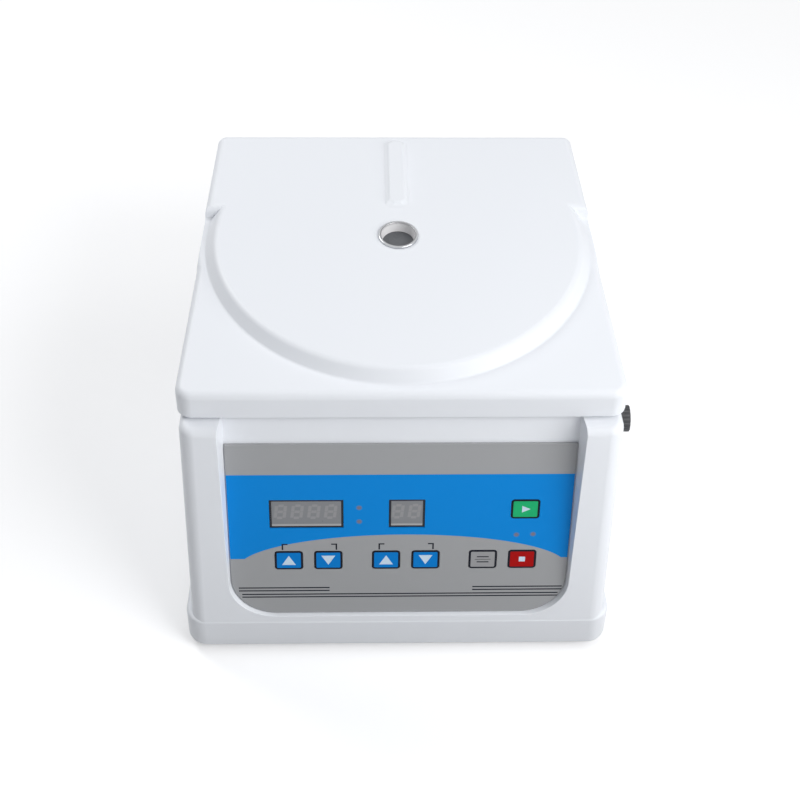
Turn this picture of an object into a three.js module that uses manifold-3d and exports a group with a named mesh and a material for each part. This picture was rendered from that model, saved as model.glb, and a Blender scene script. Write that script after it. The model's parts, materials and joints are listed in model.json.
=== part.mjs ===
// A benchtop low-speed centrifuge with a hinged lid, a raked key panel and an angle rotor.
// Millimetres, Z up. The drawing frame has the rotor's axis at X = Y = 0 and the bench at Z = 0.
import * as THREE from "three";
import { mergeVertices } from "three/addons/utils/BufferGeometryUtils.js";
import Module from "manifold-3d";

const wasm = await Module();
wasm.setup();

// Clearances that all pieces share
const seatGap = 0.3; // between a piece and the seat that carries it
const overrun = 2; // how far a cutter runs past the face that it cuts
const embed = 1; // how deep a joined feature reaches into the wall that carries it
const weld = 0.0001; // corners closer than this are one corner

// Smoothness of round work
const cornerSteps = 6;
const edgeSteps = 3;
const largeRoundSides = 40;
const mediumRoundSides = 24;
const smallRoundSides = 12;
const tinyRoundSides = 6;
const flutePoints = 3;

// Tube sleeves: they set the rotor's size, the rotor the bowl's, and the bowl the body's
const sleeveCount = 8;
const tubeTilt = THREE.MathUtils.degToRad(35);
const sleeveBore = 8.7;
const sleeveWall = 1.2;
const sleeveLength = 78;
const sleeveRim = 11.4;
const sleeveRimHeight = 1.2;
const sleeveEndShare = 1 / 3; // of its outer radius, the bevel round a sleeve's closed end
const mouthRadius = 38; // from the rotor's axis to the middle of a sleeve's mouth
const boreRadius = sleeveBore + sleeveWall + seatGap;
const rotorWeb = 4; // metal round a sleeve
const sleeveReach = sleeveLength * Math.sin(tubeTilt) + boreRadius * Math.cos(tubeTilt);
const rotorRadius = mouthRadius + sleeveReach + rotorWeb;
const rotorClearance = 10.9;
const bowlRadius = rotorRadius + rotorClearance; // inside

// Feet and base plate
const footHeight = 8;
const footRadius = 13;
const footTopRadius = 11;
const footInset = 34; // from the plinth's outside to a foot's centre, both ways
const baseThickness = 2;
const baseRecess = 1.5; // the plate lies this far inside the skirt's lower edge
const baseZ = footHeight + baseRecess;
const baseTop = baseZ + baseThickness;

// Housing: a plinth, and a body whose front leans back
const wall = 4;
const bodySideMargin = 59; // from the bowl to the body's side, at its foot and in front
const bodyHalfFoot = bowlRadius + bodySideMargin;
const bodyDraft = 1.8; // each side leans in by this up to the deck
const rearDrawIn = 19.8; // body, plinth and lid are narrower at the rear, by this on each side
const bodyHalfTop = bodyHalfFoot - bodyDraft;
const bodyFrontMargin = 66; // from the bowl to the front, on the deck
const bodyRearMargin = 23;
const frontLean = 27; // the front leans back by this up to the deck
const bodyFrontTop = bowlRadius + bodyFrontMargin;
const bodyFrontFoot = bodyFrontTop + frontLean;
const bodyRear = bowlRadius + bodyRearMargin;
const bodyHeight = 195;
const plinthSideLedge = 5.7;
const plinthFrontLedge = 0.5;
const plinthRearLedge = 5.5;
const plinthHalfWidth = bodyHalfFoot + plinthSideLedge;
const plinthFront = bodyFrontFoot + plinthFrontLedge;
const plinthRear = bodyRear + plinthRearLedge;
const plinthHeight = 33;
const plinthCornerRadius = 24;
const plinthEdgeRadius = 1.5;
const plinthTop = footHeight + plinthHeight;
const bodyCornerRadius = 19;
const shoulderRadius = 6;
const deckZ = plinthTop + bodyHeight;
const deckUnderside = deckZ - wall;
const postRadius = 6;
const postInset = 42; // from the plinth's ends to a screw post
const postHeight = 26;

// Key panel: a raked face let into the front, with a thick printed overlay on it
const rake = THREE.MathUtils.degToRad(12);
const panelHalfWidth = 131;
const panelSetBack = 13.4; // of the panel's head behind the deck's front edge
const panelDrop = 27; // from the deck to the panel's head
const panelFootRise = 5.2; // from the plinth to the panel's foot
const panelLength = (bodyHeight - panelDrop - panelFootRise) / Math.cos(rake);
const panelCornerRadius = 35;
const panelTopRadius = 1;
const panelThickness = 1.6;
const panelTopY = panelSetBack - bodyFrontTop; // on the raked wall, at the overlay's head
const panelTopZ = deckZ - panelDrop;
const recessMargin = 0.6; // between the overlay and the recess's side walls
const recessReach = 70; // how far the recess's cutter stands out of the raked wall
const recessDraft = THREE.MathUtils.degToRad(10); // the side walls open out by this
const recessEdge = 3; // rounding of the frame round the recess
const windowTop = 52.5; // places on the panel are measured down from its upper edge
const windowHeight = 27.5;
const speedWindowX = -71.4;
const speedWindowWidth = 56.5;
const timeWindowX = 5.2;
const timeWindowWidth = 27.6;
const displayDepth = 13.2;
const displayRecess = 0.7; // the display's face lies this far below the overlay's
const windowCornerRadius = 0.5;
const displays = [
  { name: "speed_display", x: speedWindowX, width: speedWindowWidth },
  { name: "time_display", x: timeWindowX, width: timeWindowWidth },
];
const displayFloor = seatGap + panelThickness - displayRecess - displayDepth;
const keyWidth = 21.6;
const keyHeight = 18.2;
const keyCornerRadius = 2.5;
const keyRowY = 112;
const startKeyY = 62.2;
const keyThickness = 1.2;
const keyStandsProud = 0.2;
const keyPairPitch = 30.6;
const speedKeysX = -70.4; // the middle of a pair of keys
const timeKeysX = 5;
const runKeysX = 80.2;
const keyPlaces = [
  { name: "key_speed_up", x: speedKeysX - keyPairPitch / 2, y: keyRowY, color: 0x1e7bc8 },
  { name: "key_speed_down", x: speedKeysX + keyPairPitch / 2, y: keyRowY, color: 0x1e7bc8 },
  { name: "key_time_up", x: timeKeysX - keyPairPitch / 2, y: keyRowY, color: 0x1e7bc8 },
  { name: "key_time_down", x: timeKeysX + keyPairPitch / 2, y: keyRowY, color: 0x1e7bc8 },
  { name: "key_mode", x: runKeysX - keyPairPitch / 2, y: keyRowY, color: 0xa9abae },
  { name: "key_stop", x: runKeysX + keyPairPitch / 2, y: keyRowY, color: 0xc8141e },
  { name: "key_start", x: runKeysX + keyPairPitch / 2, y: startKeyY, color: 0x2fb573 },
];

// Control board behind the panel
const boardThickness = 1.6;
const boardSideMargin = 21; // from the panel's side to the board's
const boardWidth = 2 * (panelHalfWidth - boardSideMargin);
const boardTop = 36;
const boardFootMargin = 26.4; // from the board's lower edge to the panel's
const boardBottom = panelLength - boardFootMargin;
const boardPostRadius = 3.5;
const boardPostInset = 7;

// Chamber bowl
const bowlSheet = 2;
const bowlDepth = 122; // from the deck to the bowl's floor
const bowlFloorZ = deckZ - bowlDepth;
const bowlCornerRadius = 18;
const bowlRim = 10;
const bowlRimRadius = bowlRadius + bowlRim;
const bowlHoleRadius = 24;
const deckOpeningRadius = bowlRadius + bowlSheet + seatGap;
const bowlRimZ = deckZ + seatGap;
const bowlRimTop = bowlRimZ + bowlSheet;

// Drive: rubber dampers, mounting plate, motor, shaft and boot
const damperRadius = 12;
const damperWaist = 8.5;
const damperHeight = 25;
const damperFlange = 5;
const damperCircle = 68;
const damperCount = 3;
const motorPlateRadius = 88;
const motorPlateCorner = 20;
const motorPlateThickness = 3;
const motorRadius = 45;
const motorClearance = 11.6; // from the motor up to the bowl, for the damped motor's sway
const motorShoulder = 6; // height of each end cap's step
const motorStep = 3;
const shaftRadius = 6;
const shaftDepth = 22; // the length that runs inside the motor
const bootInner = 10;
const bootLipRadius = 31;
const bootLip = 2.4;
const bootWaist = bowlHoleRadius - seatGap;
const damperFoot = baseTop + seatGap;
const motorPlateZ = damperFoot + damperHeight + seatGap;
const motorZ = motorPlateZ + motorPlateThickness + seatGap;
const motorTop = bowlFloorZ - bowlSheet - motorClearance;

// Angle rotor
const rotorGap = 12; // between the bowl's floor and the rotor
const rotorChamfer = 4;
const hubRadius = 14;
const hubTopRadius = 22;
const hubTopThickness = 10;
const hubLength = 36;
const nutRadius = 15;
const nutHeight = 17;
const nutCap = 4;
const nutLobes = 8;
const nutLobeDepth = 1.3;
const rotorZ = bowlFloorZ + rotorGap;
const mouthRise = sleeveLength * Math.cos(tubeTilt) + boreRadius * Math.sin(tubeTilt);
const mouthZ = rotorZ + rotorWeb + mouthRise;

// Lid: a tray with a raised round plateau that runs straight out at the rear
const lidGap = 2.5;
const lidWall = 3.5;
const lidFrontSetBack = 12; // behind the deck's front edge
const lidRearSetBack = 4; // in front of the body's rear wall
const lidFront = bodyFrontTop - lidFrontSetBack;
const lidRear = bodyRear - lidRearSetBack;
const lidOverhang = 1.8; // the lid stands out of the body's sides by this
const lidHalfFront = bodyHalfTop + lidOverhang;
const lidHalfRear = lidHalfFront - rearDrawIn;
const lidFrontCorner = 13;
const lidRearCorner = 9;
const lidHeight = 23.5;
const lidEdgeRadius = 4;
const plateauHeight = 10;
const plateauRadius = 142;
const plateauBevel = 8;
const plateauBack = 34; // behind the axis the plateau takes the lid's full width
const plateauBackBevel = 3;
const lidZ = deckZ + lidGap;
const lidLowTop = lidZ + lidHeight;
const lidTop = lidLowTop + plateauHeight;
const ribHalfWidth = 10.4;
const ribBevel = 4.4;
const ribHeight = 3.4;
const ribFront = 35;
const ribLength = 81;
const ribRear = ribFront + ribLength;
const ribCorner = 5.5;

// Sight glass in the lid
const sightFlangeRadius = 15.6;
const sightFlange = 1.4;
const sightMouthRadius = 13.4;
const sightThroatRadius = 12.4;
const sightTubeRadius = 14.9;
const sightDepth = 7; // from the plateau's top down to the glass
const glassRadius = 13.4;
const glassThickness = 3;

// Lid liner, seal and bumpers
const linerThickness = 2;
const linerRise = 5.5; // height of the liner's underside over the lid's lower edge
const linerMargin = 0.4;
const dishInset = 8; // from the bowl's radius to the dish's
const dishRadius = bowlRadius - dishInset;
const dishSlope = 6;
const dishHeight = 10;
const sealInset = 3.5; // from the bowl's inside to the seal's
const sealWidth = 6;
const sealInner = bowlRadius + sealInset;
const sealOuter = sealInner + sealWidth;
const bumperRadius = 4;
const bumperInset = 17.2; // from the deck's side
const bumperSetBack = 10; // from the lid's front
const bumperX = bodyHalfTop - bumperInset;
const bumperY = bumperSetBack - lidFront;
const linerZ = lidZ + linerRise;
const dishZ = linerZ + dishHeight;

// Two butt hinges behind the lid
const hingeInset = 53.2; // from the lid's rear corner to a hinge's middle
const hingeStandOff = 6.5; // of the axis behind the body
const hingeRise = 4; // of the axis above the deck
const hingeX = lidHalfRear - hingeInset;
const hingeAxisY = bodyRear + hingeStandOff;
const hingeAxisZ = deckZ + hingeRise;
const hingePinRadius = 2;
const hingeBarrelRadius = 4.3;
const hingeWidth = 40;
const hingeMiddle = 16; // length of the lid leaf's knuckle
const hingeSheet = 2;
const hingeBodyLeaf = 26;
const hingeLidLeaf = 24;

// Lid latch: a side knob turns a hook over the striker's bar
const latchSetBack = 19; // from the lid's front edge
const latchDrop = 20.6; // from the deck to the shaft's axis
const latchY = latchSetBack - lidFront;
const latchZ = deckZ - latchDrop;
const knobRadius = 10;
const knobDepth = 7.9;
const knobFlutes = 14;
const knobFluteDepth = 0.5;
const knobSlot = 2; // width of the pointer groove
const knobSlotDepth = 0.8;
const latchShaftRadius = 3;
const latchShaftTail = 2; // the shaft's length past the bracket
const bushRadius = 6;
const bushFlange = 8;
const bushFlangeThickness = 1.5;
const hookInset = 42.2; // from the deck's side
const hookX = bodyHalfTop - hookInset;
const hookThickness = 4;
const hookHub = 4.8;
const hookInside = 3.6; // from the shaft's axis to the arm
const hookArm = 5;
const hookTipInside = 9.3;
const hookTipThickness = 4;
const hookTipReach = 4;
const latchTurn = THREE.MathUtils.degToRad(55); // the hook rests turned back by this, lid free
const strikerBarRise = 7; // the bar over the shaft's axis
const strikerWire = 1.5;
const strikerHalfWidth = 6.5;
const strikerPlate = 2;
const strikerPlateLength = 24;
const strikerPlateWidth = 12;
const strikerSlotLength = 20;
const strikerSlotWidth = 9;
const bracketStandOff = 11; // from the hook
const bracketX = hookX - bracketStandOff;
const bracketSheet = 2;
const bracketWidth = 14;
const bracketDrop = 8; // below the shaft's axis
const bracketFoot = 14;

// Fittings on the rear wall
const rearZ = 78;
const inletInset = 49.2; // from the body's rear corner
const inletX = bodyHalfFoot - rearDrawIn - inletInset;
const inletFlangeWidth = 50;
const inletFlangeHeight = 26;
const inletFlange = 2.5;
const inletWidth = 28;
const inletHeight = 20.5;
const inletDepth = 22;
const inletSocketWidth = 24.5;
const inletSocketHeight = 17;
const inletSocketDepth = 17;
const inletPinWidth = 2;
const inletPinHeight = 4;
const inletPinLength = 15;
const inletPinSpacing = 7;
const inletPinOffset = 2;
const fittingGap = 3; // between two fittings' flanges
const switchWidth = 28;
const switchX = inletX - inletFlangeWidth / 2 - fittingGap - switchWidth / 2;
const switchHeight = 21;
const switchFlange = 2;
const switchRim = 2.5;
const switchDepth = 16;
const switchPocketDepth = 8;
const switchPocketWall = 1.25;
const rockerThickness = 7;
const rockerTilt = THREE.MathUtils.degToRad(7);
const rockerGap = 1;
const rockerPivotDepth = 4;
const fuseRadius = 7.5;
const fuseX = switchX - switchWidth / 2 - fittingGap - fuseRadius;
const fuseCap = 6;
const fuseCapEdge = 1;
const fuseThread = 6;
const fuseDepth = 30;
const ventCount = 9;
const ventInset = 37.2; // from the body's other rear corner
const ventX = rearDrawIn + ventInset - bodyHalfFoot;
const ventPitch = 9;
const ventWidth = 4;
const ventLow = 66;
const ventHigh = 112;

// Electronics on the base plate
const boardMargin = 3; // between them and the body's inside
const driveBoardWidth = 58;
const driveBoardLength = 118;
const driveBoardZ = 8; // clear height under the board
const spacerRadius = 3;
const spacerInset = 6;
const capacitorRadius = 11;
const capacitorHeight = 34;
const capacitorX = 10; // from the board's middle line, outwards
const capacitorsY = 24; // in front of the board's middle
const heatSinkWidth = 16;
const heatSinkLength = 49;
const heatSinkY = 30; // behind the board's middle
const heatSinkHeight = 38;
const heatSinkFins = 5;
const heatSinkFin = 2;
const transformerWidth = 52;
const transformerLength = 62;
const transformerHeight = 48;
const coilMargin = 12;
const coilReach = 6;

// The front-to-back middle of the machine, which the finished group stands on
const middleY = (hingeAxisY + hingeBarrelRadius - plinthFront) / 2;

// Turns a geometry into a solid, and a solid back into a geometry.
function solid(geometry) {
  const bare = geometry.index ? geometry.toNonIndexed() : geometry.clone();
  bare.deleteAttribute("normal");
  bare.deleteAttribute("uv");
  const merged = mergeVertices(bare, weld);
  const triangles = [];
  const index = merged.index.array;
  for (let i = 0; i < index.length; i += 3) {
    const [a, b, c] = [index[i], index[i + 1], index[i + 2]];
    if (a !== b && b !== c && c !== a) triangles.push(a, b, c);
  }
  return new wasm.Manifold(
    new wasm.Mesh({
      numProp: 3,
      vertProperties: merged.attributes.position.array,
      triVerts: new Uint32Array(triangles),
    }),
  );
}

function geometryOf(body) {
  const mesh = body.getMesh();
  const geometry = new THREE.BufferGeometry();
  geometry.setAttribute("position", new THREE.BufferAttribute(mesh.vertProperties, 3));
  geometry.setIndex(new THREE.BufferAttribute(mesh.triVerts, 1));
  return geometry;
}

const join = (...geometries) => geometries.map(solid).reduce((all, next) => all.add(next));
const cut = (body, ...geometries) =>
  geometries.map(solid).reduce((left, tool) => left.subtract(tool), body);

// A polygon whose corners are rounded, counter-clockwise; each corner is { x, y, r }.
function filleted(corners, steps = cornerSteps) {
  const points = [];
  corners.forEach((corner, i) => {
    const before = corners.at(i - 1);
    const after = corners[(i + 1) % corners.length];
    const here = new THREE.Vector2(corner.x, corner.y);
    const back = new THREE.Vector2(before.x, before.y).sub(here).normalize();
    const ahead = new THREE.Vector2(after.x, after.y).sub(here).normalize();
    const half = Math.acos(back.dot(ahead)) / 2;
    const inward = back.clone().add(ahead).normalize();
    const centre = here.clone().addScaledVector(inward, corner.r / Math.sin(half));
    const sweep = Math.PI - 2 * half;
    const start = inward.angle() + Math.PI - sweep / 2;
    for (let step = 0; step <= steps; step++) {
      const angle = start + (sweep * step) / steps;
      points.push(
        new THREE.Vector2(Math.cos(angle), Math.sin(angle)).multiplyScalar(corner.r).add(centre),
      );
    }
  });
  return points;
}

// A rounded four-sided outline, symmetrical about X = 0; its front is at -front.
function tray({ halfFront, halfRear, front, rear, frontRadius, rearRadius }, inset = 0) {
  const corners = [
    { x: -halfFront + inset, y: -front + inset, r: frontRadius - inset },
    { x: halfFront - inset, y: -front + inset, r: frontRadius - inset },
    { x: halfRear - inset, y: rear - inset, r: rearRadius - inset },
    { x: -halfRear + inset, y: rear - inset, r: rearRadius - inset },
  ];
  return filleted(corners);
}

// How far a tray's side stands out from X = 0 at a place from front to back.
function sideOf({ halfFront, halfRear, front, rear }, y) {
  return THREE.MathUtils.mapLinear(y, -front, rear, halfFront, halfRear);
}

function rectangle(width, height, radius, x = 0, y = 0, steps = edgeSteps) {
  const corners = [
    { x: x - width / 2, y: y - height / 2, r: radius },
    { x: x + width / 2, y: y - height / 2, r: radius },
    { x: x + width / 2, y: y + height / 2, r: radius },
    { x: x - width / 2, y: y + height / 2, r: radius },
  ];
  return filleted(corners, steps);
}

// A closed solid through outlines of equal point counts, each { outline, z }, from low to high.
function loft(rings) {
  const count = rings[0].outline.length;
  const positions = rings.flatMap(({ outline, z }) => outline.flatMap((p) => [p.x, p.y, z]));
  const index = [];
  for (let ring = 0; ring < rings.length - 1; ring++) {
    for (let i = 0; i < count; i++) {
      const a = ring * count + i;
      const b = ring * count + ((i + 1) % count);
      index.push(a, b, b + count, a, b + count, a + count);
    }
  }
  const top = (rings.length - 1) * count;
  for (const [a, b, c] of THREE.ShapeUtils.triangulateShape(rings[0].outline, [])) {
    index.push(c, b, a);
  }
  for (const [a, b, c] of THREE.ShapeUtils.triangulateShape(rings.at(-1).outline, [])) {
    index.push(top + a, top + b, top + c);
  }
  const geometry = new THREE.BufferGeometry();
  geometry.setAttribute("position", new THREE.Float32BufferAttribute(positions, 3));
  geometry.setIndex(index);
  return geometry;
}

// An outline pushed up from z to z + height.
function prism(outline, height, z = 0, holes = []) {
  const shape = new THREE.Shape(outline);
  for (const hole of holes) shape.holes.push(new THREE.Path(hole));
  const geometry = new THREE.ExtrudeGeometry(shape, { depth: height, bevelEnabled: false });
  return geometry.translate(0, 0, z);
}

// A profile of [radius, height] pairs turned about Z, from the axis to the axis or closed.
function turned(profile, sides) {
  const points = profile.map(([r, z]) => new THREE.Vector2(r, z));
  return new THREE.LatheGeometry(points, sides).rotateX(Math.PI / 2);
}

const ring = (inner, outer, low, high, sides) =>
  turned([[inner, low], [outer, low], [outer, high], [inner, high], [inner, low]], sides);

const disc = (radius, low, high, sides) =>
  turned([[0, low], [radius, low], [radius, high], [0, high]], sides);

function box(width, depth, height, x, y, z) {
  return new THREE.BoxGeometry(width, depth, height).translate(x, y, z + height / 2);
}

// A rod along X between two places.
function rodAlongX(radius, from, to, y, z, sides) {
  const rod = new THREE.CylinderGeometry(radius, radius, to - from, sides);
  return rod.rotateZ(Math.PI / 2).translate((from + to) / 2, y, z);
}

function circlePoints(radius, sides, x = 0, y = 0) {
  return Array.from({ length: sides }, (_, i) => {
    const angle = (2 * Math.PI * i) / sides;
    return new THREE.Vector2(x + radius * Math.cos(angle), y + radius * Math.sin(angle));
  });
}

// A round outline with shallow flutes: the first point of each flute lies deeper.
function fluted(radius, flutes, depth) {
  const points = flutes * flutePoints;
  return Array.from({ length: points }, (_, i) => {
    const angle = (2 * Math.PI * i) / points;
    const reach = i % flutePoints === 0 ? radius - depth : radius;
    return new THREE.Vector2(reach * Math.cos(angle), reach * Math.sin(angle));
  });
}

// Moves a geometry drawn on the panel (X across, Y up the slope, Z out of it) into the machine.
function ontoPanel(geometry) {
  return geometry.rotateX(Math.PI / 2 - rake).translate(0, panelTopY, panelTopZ);
}

// Turns a geometry drawn in X and Y so that its X runs along the machine's Y and its Y up.
const facingX = (geometry) => geometry.rotateZ(Math.PI / 2).rotateY(Math.PI / 2);

// Housing

const plinthShape = {
  halfFront: plinthHalfWidth,
  halfRear: plinthHalfWidth - rearDrawIn,
  front: plinthFront,
  rear: plinthRear,
  frontRadius: plinthCornerRadius,
  rearRadius: plinthCornerRadius,
};

// The body's outline at a height: its sides and its leaning front draw in towards the deck.
function bodyShape(z) {
  const share = THREE.MathUtils.clamp((z - plinthTop) / bodyHeight, 0, 1);
  const half = THREE.MathUtils.lerp(bodyHalfFoot, bodyHalfTop, share);
  return {
    halfFront: half,
    halfRear: half - rearDrawIn,
    front: THREE.MathUtils.lerp(bodyFrontFoot, bodyFrontTop, share),
    rear: bodyRear,
    frontRadius: bodyCornerRadius,
    rearRadius: bodyCornerRadius,
  };
}

// The plane of the flat seat that the bush's flange has in the leaning side wall
const latchSeatX =
  sideOf(bodyShape(latchZ + bushFlange), latchY + bushFlange + seatGap) - seatGap;
const knobX = latchSeatX + bushFlangeThickness + 2 * seatGap;

// Rings that round an edge of a given radius over, from its start up to the flat top.
function roundedOver(shapeAt, top, radius, steps = edgeSteps) {
  return Array.from({ length: steps + 1 }, (_, i) => {
    const angle = (Math.PI / 2) * (i / steps);
    const z = top - radius + radius * Math.sin(angle);
    return { outline: tray(shapeAt(z), radius * (1 - Math.cos(angle))), z };
  });
}

function plinthOuter() {
  const roundedUnder = roundedOver(() => plinthShape, -footHeight, plinthEdgeRadius, 2)
    .map(({ outline, z }) => ({ outline, z: -z }))
    .reverse();
  return loft([...roundedUnder, ...roundedOver(() => plinthShape, plinthTop, plinthEdgeRadius, 2)]);
}

function bodyOuter() {
  const foot = { outline: tray(bodyShape(plinthTop)), z: plinthTop - plinthEdgeRadius - embed };
  const crease = { outline: tray(bodyShape(plinthTop)), z: plinthTop };
  return loft([foot, crease, ...roundedOver(bodyShape, deckZ, shoulderRadius)]);
}

function plinthHollow() {
  const outline = tray(plinthShape, wall);
  return loft([
    { outline, z: footHeight - overrun },
    { outline, z: plinthTop - wall },
  ]);
}

function bodyHollow() {
  const outline = tray(bodyShape(plinthTop), wall);
  return loft([
    { outline, z: plinthTop - wall - overrun },
    { outline, z: plinthTop },
    { outline: tray(bodyShape(deckUnderside), wall + embed), z: deckUnderside },
  ]);
}

// The recess's outline on the panel: open above, with large round lower corners. It grows by one
// amount at its foot and by another at its head.
function recessOutline(footGrow, headGrow = footGrow) {
  const halfFoot = panelHalfWidth + recessMargin + footGrow;
  const halfHead = panelHalfWidth + recessMargin + headGrow;
  const foot = -panelLength - recessMargin - footGrow;
  const corners = [
    { x: -halfFoot, y: foot, r: panelCornerRadius + footGrow },
    { x: halfFoot, y: foot, r: panelCornerRadius + footGrow },
    { x: halfHead, y: recessReach, r: panelTopRadius },
    { x: -halfHead, y: recessReach, r: panelTopRadius },
  ];
  return filleted(corners);
}

// The recess with its drafted side walls, drawn out by a wall where it backs the hollow.
function recessBlock(thickness) {
  const draft = Math.tan(recessDraft);
  return ontoPanel(
    loft([
      { outline: recessOutline(thickness - thickness * draft), z: -thickness },
      { outline: recessOutline(thickness + recessReach * draft), z: recessReach },
    ]),
  );
}

// How far the leaning front stands out of the raked wall, `up` the slope from the panel's head.
function recessDepth(up) {
  const lean = frontLean / bodyHeight;
  const z = panelTopZ + up * Math.cos(rake);
  const front = bodyFrontFoot - (z - plinthTop) * lean;
  return (front + panelTopY + up * Math.sin(rake)) * Math.cos(rake);
}

// Rounds the frame's front edge round the recess.
function recessEdgeCutter() {
  const lean = Math.atan2(frontLean, bodyHeight);
  const riseToFoot = (panelTopZ - plinthTop) / Math.cos(lean);
  const [footGrow, headGrow] = [-panelLength, recessReach].map(
    (up) => recessDepth(up) * Math.tan(recessDraft),
  );
  const mouth = (grow) => recessOutline(footGrow + grow, headGrow + grow);
  const rings = Array.from({ length: edgeSteps + 1 }, (_, i) => {
    const angle = (Math.PI / 2) * (i / edgeSteps);
    return {
      outline: mouth(recessEdge * (1 - Math.cos(angle))),
      z: recessEdge * (Math.sin(angle) - 1),
    };
  });
  rings.push({ outline: mouth(recessEdge + overrun), z: overrun });
  return loft(rings)
    .rotateX(Math.PI / 2 - lean)
    .translate(0, -bodyFrontFoot + riseToFoot * Math.sin(lean), panelTopZ);
}

function ventSlots() {
  return Array.from({ length: ventCount }, (_, i) =>
    box(
      ventWidth, wall + 2 * overrun, ventHigh - ventLow, ventX + i * ventPitch, bodyRear - wall / 2,
      ventLow,
    ),
  );
}

function rearCutOuts() {
  const depth = wall + 2 * overrun;
  const middle = bodyRear - wall / 2;
  const through = (width, height, x) =>
    box(width + 2 * seatGap, depth, height + 2 * seatGap, x, middle, rearZ - height / 2 - seatGap);
  const fuseHole = disc(fuseThread + seatGap, -depth / 2, depth / 2, smallRoundSides);
  return [
    through(inletWidth, inletHeight, inletX),
    through(switchWidth - 2 * switchRim, switchHeight - 2 * switchRim, switchX),
    fuseHole.rotateX(Math.PI / 2).translate(fuseX, middle, rearZ),
  ];
}

function screwPosts() {
  const z = baseTop + seatGap;
  return [-plinthFront + postInset, plinthRear - postInset].flatMap((y) => {
    const x = sideOf(plinthShape, y) - wall - postRadius + embed;
    return [-x, x].map((side) =>
      disc(postRadius, z, z + postHeight, smallRoundSides).translate(side, y, 0),
    );
  });
}

// The posts behind the raked wall that carry the control board.
function boardPosts() {
  const x = boardWidth / 2 - boardPostInset;
  return [boardTop + boardPostInset, boardBottom - boardPostInset].flatMap((down) =>
    [-x, x].map((side) =>
      ontoPanel(
        disc(boardPostRadius, displayFloor, embed - wall, smallRoundSides)
          .translate(side, -down, 0),
      ),
    ),
  );
}

function displayCutOuts() {
  const y = -windowTop - windowHeight / 2;
  return displays.map(({ x, width }) =>
    ontoPanel(box(width, windowHeight, wall + 2 * overrun, x, y, -wall - overrun)),
  );
}

function housing() {
  const block = join(plinthOuter(), bodyOuter());
  const outside = cut(block, recessBlock(0), recessEdgeCutter());
  const shell = outside.subtract(cut(join(plinthHollow(), bodyHollow()), recessBlock(wall)));
  const posts = join(...screwPosts(), ...boardPosts()).intersect(block);
  const strikerSlot = box(
    strikerSlotLength, strikerSlotWidth, wall + 2 * overrun, hookX, latchY, deckUnderside - overrun,
  );
  const knobHole = latchRod(
    bushRadius + seatGap, latchSeatX - wall - overrun, bodyHalfFoot + overrun,
  );
  const bushSeat = latchRod(bushFlange + seatGap, latchSeatX, bodyHalfFoot + overrun);
  const bowlOpening = disc(
    deckOpeningRadius, deckUnderside - overrun, deckZ + overrun, largeRoundSides,
  );
  return cut(
    shell.add(posts), bowlOpening, strikerSlot, knobHole, bushSeat,
    ...displayCutOuts(), ...ventSlots(), ...rearCutOuts(),
  );
}

// Base plate and feet

function basePlate() {
  const outline = tray(plinthShape, wall + seatGap);
  const slots = Array.from({ length: ventCount }, (_, i) =>
    rectangle(
      ventWidth, ventHigh - ventLow, ventWidth / 2, (i - (ventCount - 1) / 2) * ventPitch, 0, 2,
    ),
  );
  return prism(outline, baseThickness, baseZ, slots);
}

function foot() {
  const top = baseZ - seatGap;
  const profile = [
    [0, 0],
    [footTopRadius, 0],
    [footRadius, footRadius - footTopRadius],
    [footTopRadius, top],
    [0, top],
  ];
  return turned(profile, smallRoundSides);
}

// Chamber and drive

function quarterArc(centreR, centreZ, radius, steps) {
  return Array.from({ length: steps + 1 }, (_, i) => {
    const angle = -Math.PI / 2 + (Math.PI / 2) * (i / steps);
    return [centreR + radius * Math.cos(angle), centreZ + radius * Math.sin(angle)];
  });
}

function chamberBowl() {
  const arcR = bowlRadius - bowlCornerRadius;
  const arcZ = bowlFloorZ + bowlCornerRadius;
  const inside = quarterArc(arcR, arcZ, bowlCornerRadius, edgeSteps);
  const outside = quarterArc(arcR, arcZ, bowlCornerRadius + bowlSheet, edgeSteps);
  const outer = bowlRadius + bowlSheet;
  return turned(
    [
      [bowlHoleRadius, bowlFloorZ - bowlSheet],
      ...outside,
      [outer, bowlRimZ],
      [bowlRimRadius, bowlRimZ],
      [bowlRimRadius, bowlRimTop],
      [bowlRadius, bowlRimTop],
      ...inside.reverse(),
      [bowlHoleRadius, bowlFloorZ],
      [bowlHoleRadius, bowlFloorZ - bowlSheet],
    ],
    largeRoundSides,
  );
}

function motorPlate() {
  const corners = Array.from({ length: damperCount }, (_, i) => {
    const angle = Math.PI / 2 + (2 * Math.PI * i) / damperCount;
    const reach = motorPlateRadius + motorPlateCorner;
    return { x: reach * Math.cos(angle), y: reach * Math.sin(angle), r: motorPlateCorner };
  });
  return prism(filleted(corners), motorPlateThickness, motorPlateZ);
}

function damper() {
  const top = damperFoot + damperHeight;
  return turned(
    [
      [0, damperFoot],
      [damperRadius, damperFoot],
      [damperRadius, damperFoot + damperFlange],
      [damperWaist, damperFoot + 2 * damperFlange],
      [damperWaist, top - 2 * damperFlange],
      [damperRadius, top - damperFlange],
      [damperRadius, top],
      [0, top],
    ],
    smallRoundSides,
  );
}

function motor() {
  const bore = shaftRadius + seatGap;
  return turned(
    [
      [0, motorZ],
      [motorRadius, motorZ],
      [motorRadius, motorZ + motorShoulder],
      [motorRadius - motorStep, motorZ + motorShoulder + motorStep],
      [motorRadius - motorStep, motorTop - motorShoulder - motorStep],
      [motorRadius, motorTop - motorShoulder],
      [motorRadius - motorStep, motorTop],
      [bore, motorTop],
      [bore, motorTop - shaftDepth - seatGap],
      [0, motorTop - shaftDepth - seatGap],
    ],
    mediumRoundSides,
  );
}

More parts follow.
